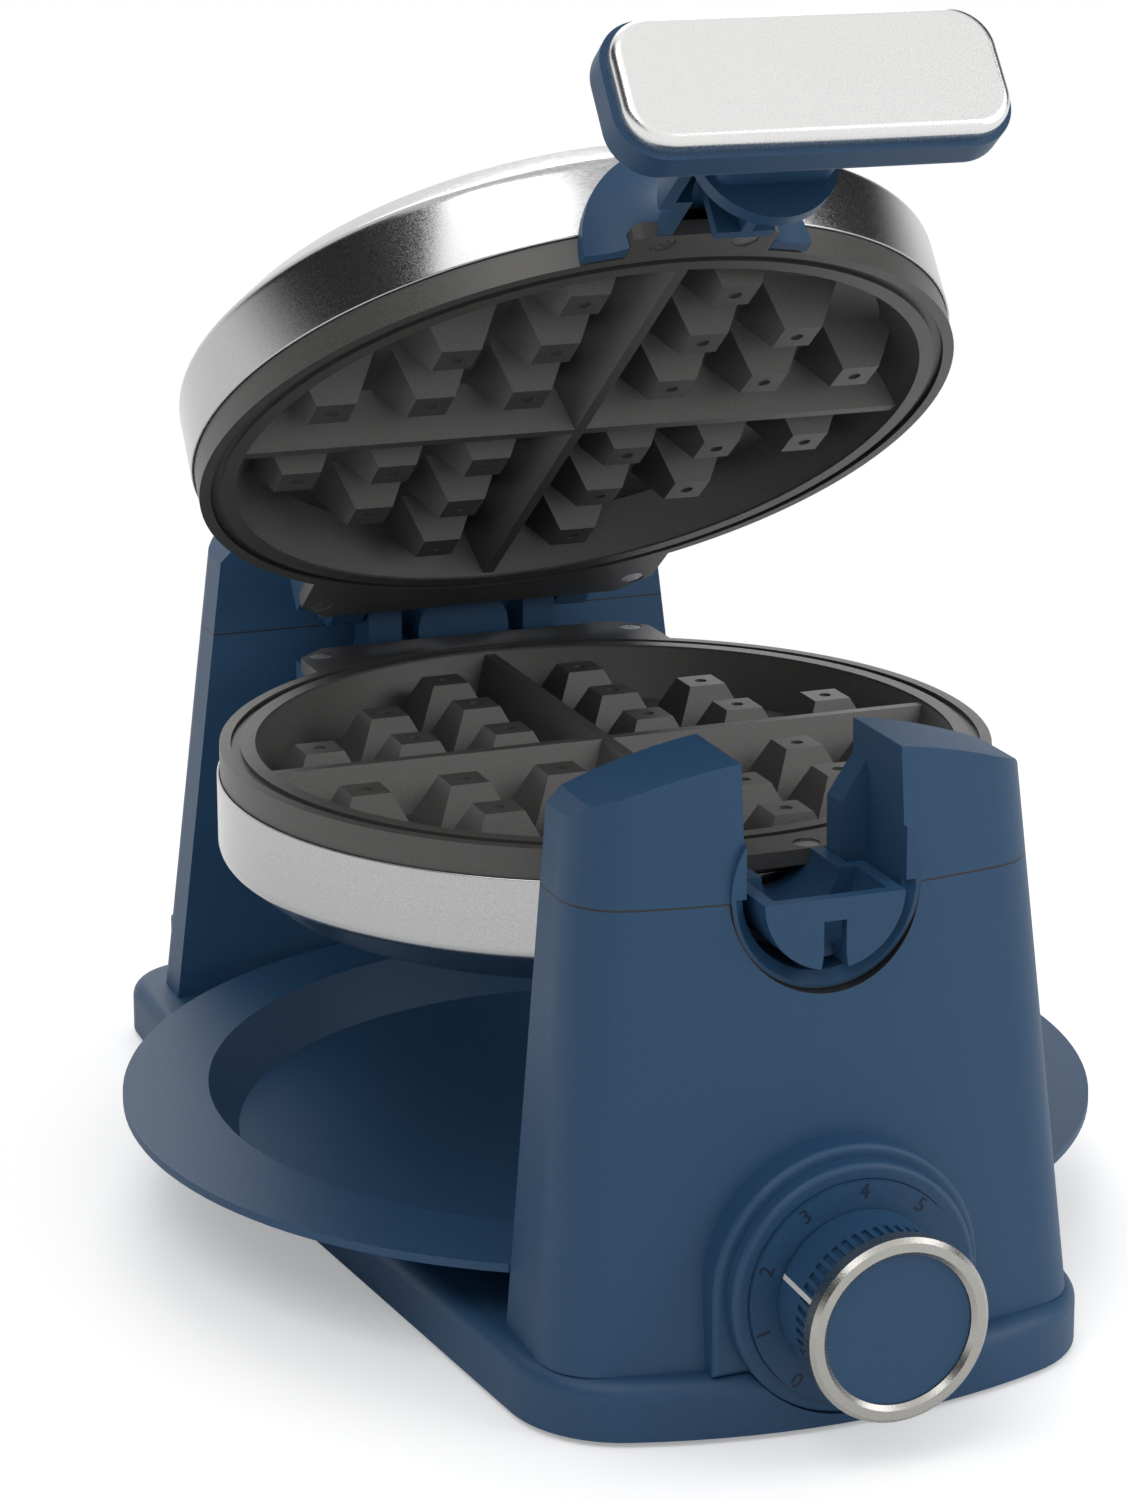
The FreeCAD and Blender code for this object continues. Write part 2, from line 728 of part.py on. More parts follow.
def build_rear_tower():
    body = new_body("rear_tower")
    foot = (S.plinth_height, "sizes.plinth_height")
    split = (S.axis_height, "sizes.axis_height")
    ceiling = (S.axis_height - S.chamber_radius, "sizes.axis_height - sizes.chamber_radius")
    tower_loft(body, "AdditiveLoft", "outer", rear_plan, (foot, split))
    tower_loft(body, "SubtractiveLoft", "hollow", rear_plan, (foot, ceiling), S.tower_wall)
    rear_bores(body)
    gland = new_sketch(body, "gland", "XZ_Plane", "-sizes.rear_inner - 2 * sizes.tower_wall")
    draw_circle(gland, S.gland_x, S.gland_height, S.gland_radius + S.seat_fit)
    pocket(body, gland, "sizes.rear_outer - sizes.rear_inner")
    tower_bosses(body, tower_boss_points()[2:])


def build_rear_cap():
    body = new_body("rear_tower_cap")
    split = (S.axis_height, "sizes.axis_height")
    top = (S.rear_top, "sizes.rear_top")
    tower_loft(body, "AdditiveLoft", "outer", rear_plan, (split, top))
    dome = new_sketch(body, "dome", "XZ_Plane", "-sizes.rear_inner + sizes.tower_wall")
    flank = S.rear_foot_half - S.rear_taper * (S.rear_top - S.plinth_height)
    draw_dome(dome, S.rear_top, S.rear_dome, flank, S.top_bevel)
    pocket(body, dome, "sizes.rear_outer")
    rear_bores(body)


# browning control

def knob_station(*parts):
    """Distance in front of the iron centre, from the dial's face outwards."""
    return S.arch_face + S.dial_collar_height - S.dial_sink + S.dial_thickness + sum(parts)


def build_dial():
    body = new_body("dial_ring")
    seat = "sizes.arch_face + sizes.dial_collar_height - sizes.dial_sink"
    plan = new_sketch(body, "plan", "XZ_Plane", seat)
    draw_circle(plan, 0, S.knob_height, S.dial_radius)
    draw_circle(plan, 0, S.knob_height, S.control_neck_radius + S.dial_gap)
    pad(body, plan, "sizes.dial_thickness")


def build_control():
    body = new_body("thermostat_body")
    box = new_sketch(body, "box", "XZ_Plane", "sizes.arch_face - sizes.arch_depth")
    half = S.control_width / 2
    draw_box(box, -half, S.knob_height - half, half, S.knob_height + half)
    pad(body, box, "sizes.control_depth", backwards=True)
    neck = new_sketch(body, "neck", "XZ_Plane", "sizes.arch_face - sizes.arch_depth")
    draw_circle(neck, 0, S.knob_height, S.control_neck_radius)
    pad(body, neck, "sizes.arch_depth + sizes.dial_collar_height - sizes.dial_sink"
                    " + sizes.dial_thickness + sizes.nut_thickness + 0.5")
    bore = new_sketch(body, "bore", "XZ_Plane", "sizes.arch_face + sizes.dial_collar_height * 3")
    draw_circle(bore, 0, S.knob_height, S.shaft_radius + S.shaft_fit)
    pocket(body, bore, "sizes.arch_depth + sizes.dial_collar_height * 3 + sizes.control_depth / 2")

    nut = new_body("thermostat_nut")
    plan = new_sketch(nut, "plan", "XZ_Plane", "sizes.arch_face + sizes.dial_collar_height"
                                               " - sizes.dial_sink + sizes.dial_thickness")
    radius = S.nut_across / math.sqrt(3)
    corners = [math.radians(60 * k) for k in range(6)]
    draw_lines(plan, [(radius * math.cos(a), S.knob_height + radius * math.sin(a)) for a in corners])
    draw_circle(plan, 0, S.knob_height, S.control_neck_radius + S.seat_fit)
    pad(nut, plan, "sizes.nut_thickness")


def build_knob():
    """Skirt and ridged grip, hollow behind, with a seat for the ring and the face."""
    start = -knob_station(S.knob_lift)
    skirt_end = start - S.knob_skirt
    grip_end = skirt_end - S.knob_grip
    web = grip_end + S.knob_wall + S.knob_ring_depth
    grip = S.knob_radius - S.grip_depth
    inside = S.knob_radius - S.knob_wall
    body = new_body("knob_body")
    body.setExpression("Placement.Base.z", "sizes.knob_height")
    turned = new_sketch(body, "profile", "YZ_Plane")
    shaft = S.shaft_radius + S.seat_fit
    draw_lines(turned, [
        (start, inside), (start, S.knob_radius), (skirt_end, S.knob_radius), (skirt_end, grip),
        (grip_end, grip), (grip_end, shaft), (start - S.nut_thickness - 1, shaft),
        (start - S.nut_thickness - 1, 2 * shaft), (web, 2 * shaft), (web, inside),
    ])
    revolve(body, turned, "H_Axis")
    ridge = new_sketch(body, "ridge", "XZ_Plane", "%f" % -skirt_end)
    half = math.pi * grip / S.grip_count / 2
    draw_box(ridge, -half, grip - S.grip_depth, half, S.knob_radius)
    tooth = pad(body, ridge, "sizes.knob_grip")
    ring = body.newObject("PartDesign::PolarPattern", "grip_ridges")
    ring.Originals = [tooth]
    ring.Axis = (turned, ["H_Axis"])
    ring.Angle = 360.0
    ring.setExpression("Occurrences", "sizes.grip_count")
    body.Tip = ring
    doc.recompute()
    slot = new_sketch(body, "slot", "XZ_Plane", "%f" % -start)
    turn_pointer(slot, S.pointer_width / 2 + S.seat_fit, grip - S.grip_depth, S.knob_ring_radius)
    pocket(body, slot, "sizes.knob_skirt + sizes.knob_grip", backwards=True)

    trim = new_body("knob_ring")
    trim.setExpression("Placement.Base.z", "sizes.knob_height")
    section = new_sketch(trim, "profile", "YZ_Plane")
    hole = S.knob_ring_radius - S.knob_ring_width
    bend = S.knob_ring_width / 4
    front = grip_end - S.knob_ring_depth
    draw_lines(section, [
        (grip_end, hole), (grip_end, S.knob_ring_radius), (front + bend, S.knob_ring_radius),
        (front, S.knob_ring_radius - bend), (front, hole + bend), (front + bend, hole),
    ])
    revolve(trim, section, "H_Axis")

    face = new_body("knob_face")
    face.setExpression("Placement.Base.z", "sizes.knob_height")
    disc = new_sketch(face, "plan", "XZ_Plane", "%f" % -grip_end)
    draw_circle(disc, 0, 0, hole - S.seat_fit)
    pad(face, disc, "sizes.knob_ring_depth - sizes.knob_face_sink")

    pointer = new_body("knob_pointer")
    pointer.setExpression("Placement.Base.z", "sizes.knob_height")
    bar = new_sketch(pointer, "plan", "XZ_Plane", "%f" % -start)
    turn_pointer(bar, S.pointer_width / 2, grip - S.grip_depth, S.knob_radius + S.seat_fit)
    pad(pointer, bar, "sizes.knob_skirt + sizes.knob_grip")

    shaft_body = new_body("thermostat_shaft")
    shaft_body.setExpression("Placement.Base.z", "sizes.knob_height")
    rod = new_sketch(shaft_body, "plan", "XZ_Plane", "%f" % -grip_end)
    draw_circle(rod, 0, 0, S.shaft_radius)
    pad(shaft_body, rod, "%f - sizes.arch_face + sizes.arch_depth" % -grip_end, backwards=True)


def turn_pointer(sketch, half, low, high):
    """A narrow box on the knob's side at the pointer's angle from the top."""
    angle = math.radians(S.pointer_angle)
    across = (math.cos(angle), math.sin(angle))
    out = (-math.sin(angle), math.cos(angle))
    corners = [(-half, low), (half, low), (half, high), (-half, high)]
    draw_lines(sketch, [(a * across[0] + r * out[0], a * across[1] + r * out[1]) for a, r in corners])


# mains side

def build_mains():
    gland = new_body("cord_gland")
    sleeve = new_sketch(gland, "sleeve", "XZ_Plane", "-(sizes.rear_outer + sizes.gland_flange_height)")
    draw_circle(sleeve, S.gland_x, S.gland_height, S.gland_radius)
    draw_circle(sleeve, S.gland_x, S.gland_height, S.gland_bore)
    pad(gland, sleeve, "sizes.gland_flange_height + 3 * sizes.tower_wall")
    flange = new_sketch(gland, "flange", "XZ_Plane", "-(sizes.rear_outer + sizes.gland_flange_height)")
    draw_circle(flange, S.gland_x, S.gland_height, S.gland_flange)
    draw_circle(flange, S.gland_x, S.gland_height, S.gland_bore)
    pad(gland, flange, "sizes.gland_flange_height")

    block = new_body("terminal_block")
    box = new_sketch(block, "plan", "XZ_Plane", "-(sizes.rear_inner + sizes.tower_wall)")
    draw_box(box, -S.block_width / 2, S.block_low, S.block_width / 2, S.block_low + S.block_height)
    pad(block, box, "sizes.block_depth", backwards=True)

    bush = new_body("pivot_bush")
    ring = new_sketch(bush, "plan", "XZ_Plane", "-sizes.rear_inner")
    draw_circle(ring, 0, S.axis_height, S.bush_radius)
    draw_circle(ring, 0, S.axis_height, S.tube_radius + S.bush_fit)
    pad(bush, ring, "sizes.bush_length", backwards=True)


# drip tray

def build_tray():
    body = new_body("drip_tray")
    low = S.plinth_height + S.tray_clearance
    rim = S.tray_rim_height
    lip = rim - S.tray_rim_drop
    wall = S.tray_wall
    profile = new_sketch(body, "profile", "XZ_Plane")
    draw_lines(profile, [
        (0, low), (S.tray_floor_radius + wall, low), (S.tray_mouth_radius + wall, rim - wall),
        (S.tray_radius, lip - wall), (S.tray_radius, lip), (S.tray_mouth_radius, rim),
        (S.tray_floor_radius, low + wall), (0, low + wall),
    ])
    revolve(body, profile, "V_Axis")
    flat = new_sketch(body, "flat", "XY_Plane")
    draw_box(flat, -S.tray_radius, -2 * S.tray_radius, S.tray_radius, -S.front_inner + S.tray_tower_gap)
    draw_box(flat, -S.tray_radius, S.rear_inner - S.tray_tower_gap, S.tray_radius, 2 * S.tray_radius)
    pocket(body, flat, "sizes.tray_rim_height", backwards=True)


# irons

def floor_level():
    return -S.parting - S.cavity_depth


def draw_plate_profile(sketch):
    """Lip with a groove, a bead inside it, a sloped wall and a flat floor."""
    lip = -S.parting
    floor = floor_level()
    under = floor - S.plate_floor
    step = lip - S.plate_band
    groove_out = S.iron_radius - S.lip_width
    groove_in = groove_out - S.groove_width
    foot = S.cavity_floor_radius + S.plate_floor
    draw_lines(sketch, [
        (0, floor), (S.cavity_floor_radius, floor),
        (S.cavity_radius, lip - S.groove_depth / 2), (S.cavity_radius, lip), (groove_in, lip),
        (groove_in - S.groove_depth / 4, lip - S.groove_depth),
        (groove_out + S.groove_depth / 4, lip - S.groove_depth), (groove_out, lip),
        (S.iron_radius, lip), (S.iron_radius, step),
        (S.iron_radius - S.plate_floor, step), (foot, under), (0, under),
    ])


def stud_centres():
    """Six studs in each quarter: three along each rib, two and one further out."""
    steps = [S.stud_first + n * S.stud_pitch for n in range(3)]
    quarter = [(steps[i], steps[j]) for i in range(3) for j in range(3 - i)]
    return [(sx * x, sy * y) for sx in (-1, 1) for sy in (-1, 1) for x, y in quarter]


def plate_screw_points():
    return [(side * x, y) for side in (-1, 1)
            for x, y in ((S.front_screw_x, -S.front_screw_y), (S.rear_screw_x, S.rear_screw_y))]


def draw_tab(sketch, half, reach, slant, facing):
    """A tab past the lip: its root follows the lip and its far corners are cut off."""
    root = S.iron_radius - S.lip_width / 2
    near = (half, facing * math.sqrt(root ** 2 - half ** 2))
    side = (half, facing * (reach - slant))
    far = (half - slant, facing * reach)
    draw_path(sketch, [
        (mirror(near), (0, facing * root), near),
        (near, side),
        (side, far),
        (far, mirror(far)),
        (mirror(far), mirror(side)),
        (mirror(side), mirror(near)),
    ])


def build_plate(label, upper):
    body = new_body(label)
    profile = new_sketch(body, "profile", "XZ_Plane")
    draw_plate_profile(profile)
    revolve(body, profile, "V_Axis")
    base, crest = S.rib_base_half, S.rib_top_half
    level = floor_level()
    top = level + S.cavity_depth - S.rib_drop
    for name, role in (("rib_x", "YZ_Plane"), ("rib_y", "XZ_Plane")):
        rib = new_sketch(body, name, role)
        draw_lines(rib, [(-base, level), (base, level), (crest, top), (-crest, top)])
        pad(body, rib, "2 * sizes.cavity_radius + sizes.groove_depth", both_ways=True)
    studs = new_sketch(body, "studs", "XY_Plane", "-sizes.parting - sizes.cavity_depth")
    half = S.stud_base / 2
    for x, y in stud_centres():
        draw_box(studs, x - half, y - half, x + half, y + half)
    rise = S.cavity_depth - S.stud_drop
    grid = pad(body, studs, "sizes.cavity_depth - sizes.stud_drop")
    grid.TaperAngle = -math.degrees(math.atan((S.stud_base - S.stud_top) / 2 / rise))
    doc.recompute()
    dimples = new_sketch(body, "dimples", "XY_Plane", "-sizes.parting - sizes.stud_drop")
    for x, y in stud_centres():
        draw_circle(dimples, x, y, S.dimple_radius)
    pocket(body, dimples, "sizes.dimple_depth")
    tabs = new_sketch(body, "tabs", "XY_Plane", "-sizes.parting")
    draw_tab(tabs, S.rear_tab_half, S.rear_tab_reach, S.rear_tab_slant, 1)
    draw_tab(tabs, S.front_tab_half, S.front_tab_reach, S.front_tab_slant, -1)
    pad(body, tabs, "sizes.tab_thickness", backwards=True)
    for name, radius, depth in (("head", S.screw_head_radius + S.dial_gap, "sizes.head_sink"),
                                ("shank", S.screw_radius + S.seat_fit, "sizes.tab_thickness")):
        holes = new_sketch(body, name, "XY_Plane", "-sizes.parting")
        for x, y in plate_screw_points():
            draw_circle(holes, x, y, radius)
        pocket(body, holes, depth)
    place_iron(body, upper)


def build_shell(label, upper):
    """Thin pan: straight wall, bevel and flat bottom."""
    body = new_body(label)
    top = -S.parting - S.plate_band
    crease = top - S.shell_height
    low = crease - S.shell_bevel
    outer = S.iron_radius + S.shell_proud
    wall = S.shell_wall
    profile = new_sketch(body, "profile", "XZ_Plane")
    draw_lines(profile, [
        (outer, top), (outer, crease), (S.shell_bottom_radius, low), (0, low), (0, low + wall),
        (S.shell_bottom_radius - wall / 2, low + wall), (outer - wall, crease + wall / 2),
        (outer - wall, top),
    ])
    revolve(body, profile, "V_Axis")
    place_iron(body, upper)


def build_element(label, upper):
    """Open ring under the plate with two cold pins at the rear."""
    body = new_body(label)
    level = floor_level() - S.plate_floor - S.element_tube
    section = new_sketch(body, "section", "YZ_Plane")
    draw_circle(section, -S.element_radius, level, S.element_tube)
    revolve(body, section, "V_Axis", 360.0 - S.element_gap_angle)
    pins = new_sketch(body, "pins", "XY_Plane", "-sizes.parting - sizes.cavity_depth"
                                                " - sizes.plate_floor - sizes.element_tube")
    lean = math.radians(S.element_gap_angle / 2) + S.element_tube / S.element_radius
    for side in (-1, 1):
        draw_circle(pins, side * S.element_radius * math.sin(lean), S.element_radius * math.cos(lean),
                    S.cold_pin_radius)
    pad(body, pins, "sizes.cold_pin_length", backwards=True)
    place_iron(body, upper)


def build_plate_screws(label, upper):
    steps = [(S.screw_head_radius, S.screw_head_height), (S.screw_radius, S.screw_length)]
    head = -UP * (S.parting + S.head_sink - S.screw_head_height)
    screws = [stepped_pin(point(x, y) + head, -UP, steps) for x, y in plate_screw_points()]
    place_iron(fastener_group(label, screws), upper)


# front hubs

def draw_hub_profile(sketch, front):
    """Half section of a hub: flared shoulder, neck, and drum with a closed front."""
    rim = -(S.iron_radius - S.shoulder_wall * 2)
    flare_end = -(S.front_inner - S.shoulder_gap)
    flare_start = -(S.iron_radius + S.shell_proud)
    inner = S.shoulder_radius - S.shoulder_wall
    drum_inside = -(S.drum_rear + S.drum_wall)
    mid_y = flare_end + (flare_start - flare_end) * (1 - S.flare_share)
    mid_r = S.neck_radius + (S.shoulder_radius - S.neck_radius) * S.flare_share
    draw_path(sketch, [
        ((rim, -S.shoulder_radius), (flare_start, -S.shoulder_radius)),
        ((flare_start, -S.shoulder_radius), (mid_y, -mid_r), (flare_end, -S.neck_radius)),
        ((flare_end, -S.neck_radius), (-S.drum_rear, -S.neck_radius)),
        ((-S.drum_rear, -S.neck_radius), (-S.drum_rear, -S.drum_radius)),
        ((-S.drum_rear, -S.drum_radius), (-front, -S.drum_radius)),
        ((-front, -S.drum_radius), (-front, 0)),
        ((-front, 0), (S.drum_wall - front, 0)),
        ((S.drum_wall - front, 0), (S.drum_wall - front, -S.drum_bore)),
        ((S.drum_wall - front, -S.drum_bore), (drum_inside, -S.drum_bore)),
        ((drum_inside, -S.drum_bore), (drum_inside, -S.neck_bore)),
        ((drum_inside, -S.neck_bore), (flare_end + S.shoulder_wall, -S.neck_bore)),
        ((flare_end + S.shoulder_wall, -S.neck_bore), (flare_start + S.shoulder_wall, -inner)),
        ((flare_start + S.shoulder_wall, -inner), (rim, -inner)),
        ((rim, -inner), (rim, -S.shoulder_radius)),
    ])


def hub_blank(label, front):
    """The turned half hub, trimmed to the parting gap, the rim and the plate's tab."""
    body = new_body(label)
    profile = new_sketch(body, "profile", "YZ_Plane")
    draw_hub_profile(profile, front)
    revolve(body, profile, "H_Axis", LID_SIDE)
    gap = new_sketch(body, "gap", "XY_Plane", "-sizes.parting")
    reach = 2 * S.shoulder_radius
    draw_box(gap, -reach, -2 * front, reach, 0)
    pocket(body, gap, "sizes.shoulder_radius", backwards=True)
    rim = new_sketch(body, "rim", "XY_Plane")
    draw_circle(rim, 0, 0, S.iron_radius + S.shell_proud + S.rim_clearance)
    pocket(body, rim, "2 * sizes.shoulder_radius")
    tab = new_sketch(body, "tab", "XY_Plane", "-sizes.parting")
    half = S.front_tab_half + S.dial_gap
    draw_box(tab, -half, -S.front_tab_reach - S.dial_gap, half, -S.iron_radius / 2)
    pocket(body, tab, "sizes.tab_thickness")
    holes = new_sketch(body, "screws", "XY_Plane", "-sizes.parting")
    for side in (-1, 1):
        draw_circle(holes, side * S.front_screw_x, -S.front_screw_y, S.screw_radius + S.seat_fit)
    pocket(body, holes, "sizes.head_sink + sizes.screw_length + sizes.screw_relief")
    return body


def build_lower_hub():
    """Half drum with an inverted slot, open downwards, in its front wall."""
    body = hub_blank("lower_hub", S.drum_front)
    slot = new_sketch(body, "slot", "XZ_Plane", "sizes.drum_front")
    half = S.slot_half
    low = -S.drum_radius
    foot = low * 0.8
    draw_path(slot, [
        ((half, foot), (half, -S.slot_drop)),
        ((half, -S.slot_drop), (-half, -S.slot_drop)),
        ((-half, -S.slot_drop), (-half, foot)),
        ((-half, foot), (-2.2 * half, 2 * low)),
        ((-2.2 * half, 2 * low), (2.2 * half, 2 * low)),
        ((2.2 * half, 2 * low), (half, foot)),
    ])
    pocket(body, slot, "sizes.drum_wall * 3")
    place_iron(body, False)


def build_upper_hub():
    """Half drum with a full disc in front and a T-shaped tongue that drops between the walls."""
    body = hub_blank("upper_hub", S.drum_front + S.disc_gap)
    disc = new_sketch(body, "disc", "XZ_Plane", "sizes.drum_front + sizes.disc_gap")
    draw_circle(disc, 0, 0, S.disc_radius)
    pad(body, disc, "sizes.disc_thickness")
    tongue = new_sketch(body, "tongue", "XY_Plane", "-sizes.neck_bore")
    rear = -S.tongue_station
    front = rear - S.tongue_thickness
    fin = S.tongue_thickness / 2
    draw_lines(tongue, [
        (-S.tongue_half, rear), (S.tongue_half, rear), (S.tongue_half, front), (fin, front),
        (fin, -S.fin_reach), (-fin, -S.fin_reach), (-fin, front), (-S.tongue_half, front),
    ])
    pad(body, tongue, "sizes.neck_bore + sizes.tongue_drop")
    bridge = new_sketch(body, "bridge", "XY_Plane", "-sizes.neck_bore")
    draw_box(bridge, -fin, -S.fin_reach, fin, -S.tongue_station)
    pad(body, bridge, "sizes.drum_bore - sizes.neck_bore + sizes.drum_wall / 2", backwards=True)
    face = "sizes.drum_front + sizes.disc_gap + sizes.disc_thickness"
    holes = new_sketch(body, "handle_holes", "XZ_Plane", face)
    for x, z in handle_screw_points():
        draw_circle(holes, x, z, S.screw_radius + S.seat_fit)
    pocket(body, holes, "sizes.disc_thickness + sizes.drum_wall")
    place_iron(body, True)


def handle_screw_points():
    return [(side * S.handle_screw_x, -S.handle_screw_drop) for side in (-1, 1)]


def build_handle():
    """Wide bar on a short stem, with a metal cap over its face."""
    body = new_body("handle_body")
    bar = new_sketch(body, "bar", "XZ_Plane", "sizes.handle_face - sizes.handle_cap - sizes.handle_body")
    draw_rounded_box(bar, S.handle_width / 2, S.handle_height / 2, S.handle_corner)
    block = pad(body, bar, "sizes.handle_body")
    back = -(S.handle_face - S.handle_cap - S.handle_body)
    round_edges(body, block, "sizes.handle_edge", edge_at_station(back))
    stem = new_sketch(body, "stem", "XZ_Plane", "sizes.drum_front + sizes.disc_gap + sizes.disc_thickness")
    draw_rounded_box(stem, S.stem_half, S.stem_height_half, S.handle_edge)
    pad(body, stem, "sizes.handle_face - sizes.handle_cap - sizes.handle_body / 2"
                    " - sizes.drum_front - sizes.disc_gap - sizes.disc_thickness")
    holes = new_sketch(body, "holes", "XZ_Plane", "sizes.drum_front + sizes.disc_gap + sizes.disc_thickness")
    for x, z in handle_screw_points():
        draw_circle(holes, x, z, S.screw_radius + S.seat_fit)
    pocket(body, holes, "sizes.screw_length + sizes.screw_relief", backwards=True)
    place_iron(body, True)

    cap = new_body("handle_cap")
    face = new_sketch(cap, "face", "XZ_Plane", "sizes.handle_face - sizes.handle_cap")
    inset = S.cap_inset
    draw_rounded_box(face, S.handle_width / 2 - inset, S.handle_height / 2 - inset, S.handle_corner - inset)
    slab = pad(cap, face, "sizes.handle_cap")
    round_edges(cap, slab, "sizes.cap_edge", edge_at_station(-S.handle_face))
    place_iron(cap, True)

    front = FreeCAD.Vector(0, -1, 0)
    head = -(S.drum_front + S.disc_gap - S.drum_wall) + S.screw_head_height
    shank = S.drum_wall + S.disc_thickness + S.screw_length
    steps = [(S.screw_head_radius, S.screw_head_height), (S.screw_radius, shank)]
    bases = [FreeCAD.Vector(x, head, z) for x, z in handle_screw_points()]
    screws = fastener_group("handle_screws", [stepped_pin(base, front, steps) for base in bases])
    place_iron(screws, True)


# rear brackets and axle

def bracket_arm(body):
    """Block under the plate's rear tab, hugging the pan."""
    arm = new_sketch(body, "arm", "XY_Plane", "-sizes.parting - sizes.tab_thickness")
    draw_box(arm, -S.bracket_half, S.iron_radius * 0.9, S.bracket_half, S.bracket_rear)
    pad(body, arm, "sizes.bracket_height", backwards=True)


def bracket_trim(body):
    """Clears the pan and takes the plate screws."""
    rim = new_sketch(body, "rim", "XY_Plane")
    draw_circle(rim, 0, 0, S.iron_radius + S.shell_proud + S.rim_clearance)
    pocket(body, rim, "sizes.parting + sizes.tab_thickness + sizes.bracket_height + 1")
    holes = new_sketch(body, "screws", "XY_Plane", "-sizes.parting")
    for side in (-1, 1):
        draw_circle(holes, side * S.rear_screw_x, S.rear_screw_y, S.screw_radius + S.seat_fit)
    pocket(body, holes, "sizes.head_sink + sizes.screw_length + sizes.screw_relief")


def ear_pair(body, inner, outline, hole):
    """Two hinge ears, mirrored left and right, with the pin's hole."""
    for side, tag in ((1, "right"), (-1, "left")):
        ear = new_sketch(body, "ear_" + tag, "YZ_Plane", "%d * %s" % (side, inner))
        draw_path(ear, outline)
        pad(body, ear, "sizes.ear_width", backwards=side < 0)
        bore = new_sketch(body, "bore_" + tag, "YZ_Plane", "%d * %s" % (side, inner))
        draw_circle(bore, S.hinge_station, hole[0], hole[1])
        pocket(body, bore, "sizes.ear_width", backwards=side > 0)


def build_lower_bracket():
    """Arm, ears that rise to the hinge, and the boss that holds the axle."""
    body = new_body("lower_bracket")
    bracket_arm(body)
    top = -S.parting - S.tab_thickness
    deck = new_sketch(body, "deck", "XY_Plane", "-sizes.parting - sizes.tab_thickness")
    wide = S.ear_inner + S.ear_width
    draw_box(deck, -wide, S.bracket_rear - 1, wide, S.pivot_boss_rear)
    pad(body, deck, "sizes.bracket_height - sizes.hinge_rise / 2", backwards=True)
    boss = new_sketch(body, "boss", "XZ_Plane", "-sizes.pivot_boss_rear")
    draw_circle(boss, 0, 0, S.pivot_boss_radius)
    pad(body, boss, "sizes.pivot_boss_rear - sizes.bracket_rear - sizes.ear_gap")
    eye, station, rise = S.hinge_eye, S.hinge_station, S.hinge_rise
    outline = [
        ((station + eye, rise), (station, rise + eye), (station - eye, rise)),
        ((station - eye, rise), (station - eye, top - 1)),
        ((station - eye, top - 1), (station + eye, top - 1)),
        ((station + eye, top - 1), (station + eye, rise)),
    ]
    ear_pair(body, "sizes.ear_inner", outline, (rise, S.pin_radius + S.seat_fit))
    bracket_trim(body)
    seat = new_sketch(body, "seat", "XZ_Plane", "-sizes.pivot_boss_rear")
    draw_circle(seat, 0, 0, S.tube_radius + S.seat_fit)
    pocket(body, seat, "sizes.pivot_boss_rear - sizes.tube_start", backwards=True)
    place_iron(body, False)


def build_upper_bracket():
    """Arm with ears outside the lower pair. In its own lie the hinge is below the parting plane."""
    body = new_body("upper_bracket")
    bracket_arm(body)
    eye, station, rise = S.hinge_eye, S.hinge_station, S.hinge_rise
    root = S.bracket_rear - 1
    outline = [
        ((station, eye - rise), (station + eye, -rise), (station, -eye - rise)),
        ((station, -eye - rise), (root, -eye - rise)),
        ((root, -eye - rise), (root, -S.parting - S.tab_thickness)),
        ((root, -S.parting - S.tab_thickness), (station, eye - rise)),
    ]
    ear_pair(body, "(sizes.ear_inner + sizes.ear_width + sizes.ear_gap)", outline,
             (-rise, S.pin_radius + S.shaft_fit))
    bracket_trim(body)
    relief = new_sketch(body, "relief", "XZ_Plane", "-sizes.bracket_rear")
    draw_circle(relief, 0, 0, S.pivot_boss_radius + S.boss_relief)
    pocket(body, relief, "sizes.bracket_rear - sizes.rear_tab_reach", backwards=True)
    place_iron(body, True)


def build_axle():
    tube = new_body("pivot_tube")
    ring = new_sketch(tube, "plan", "XZ_Plane", "-sizes.tube_start")
    draw_circle(ring, 0, 0, S.tube_radius)
    draw_circle(ring, 0, 0, S.tube_radius - S.tube_wall)
    pad(tube, ring, "sizes.tube_end - sizes.tube_start", backwards=True)
    place_iron(tube, False)

    clip = new_body("pivot_clip")
    plan = new_sketch(clip, "plan", "XZ_Plane", "-(sizes.rear_inner + sizes.bush_length + sizes.clip_gap)")
    draw_circle(plan, 0, 0, S.tube_radius + S.clip_reach)
    draw_circle(plan, 0, 0, S.tube_radius + S.seat_fit)
    pad(clip, plan, "sizes.clip_width", backwards=True)
    place_iron(clip, False)

    length = 2 * S.ear_width + S.ear_gap
    steps = [(S.pin_radius, length), (S.pin_head_radius, S.pin_head_height)]
    pins = []
    for side in (-1, 1):
        direction = FreeCAD.Vector(side, 0, 0)
        base = FreeCAD.Vector(side * S.ear_inner, S.hinge_station, S.hinge_rise)
        pins.append(stepped_pin(base, direction, steps))
    place_iron(fastener_group("hinge_pins", pins), False)


def build_all():
    build_plinth()
    build_cover()
    build_base_fasteners()
    build_front_tower()
    build_front_cap()
    build_rear_tower()
    build_rear_cap()
    build_dial()
    build_control()
    build_knob()
    build_mains()
    build_tray()
    for side, upper in (("lower", False), ("upper", True)):
        build_plate(side + "_plate", upper)
        build_shell(side + "_shell", upper)
        build_element(side + "_element", upper)
        build_plate_screws(side + "_screws", upper)
    build_lower_hub()
    build_upper_hub()
    build_handle()
    build_lower_bracket()
    build_upper_bracket()
    build_axle()


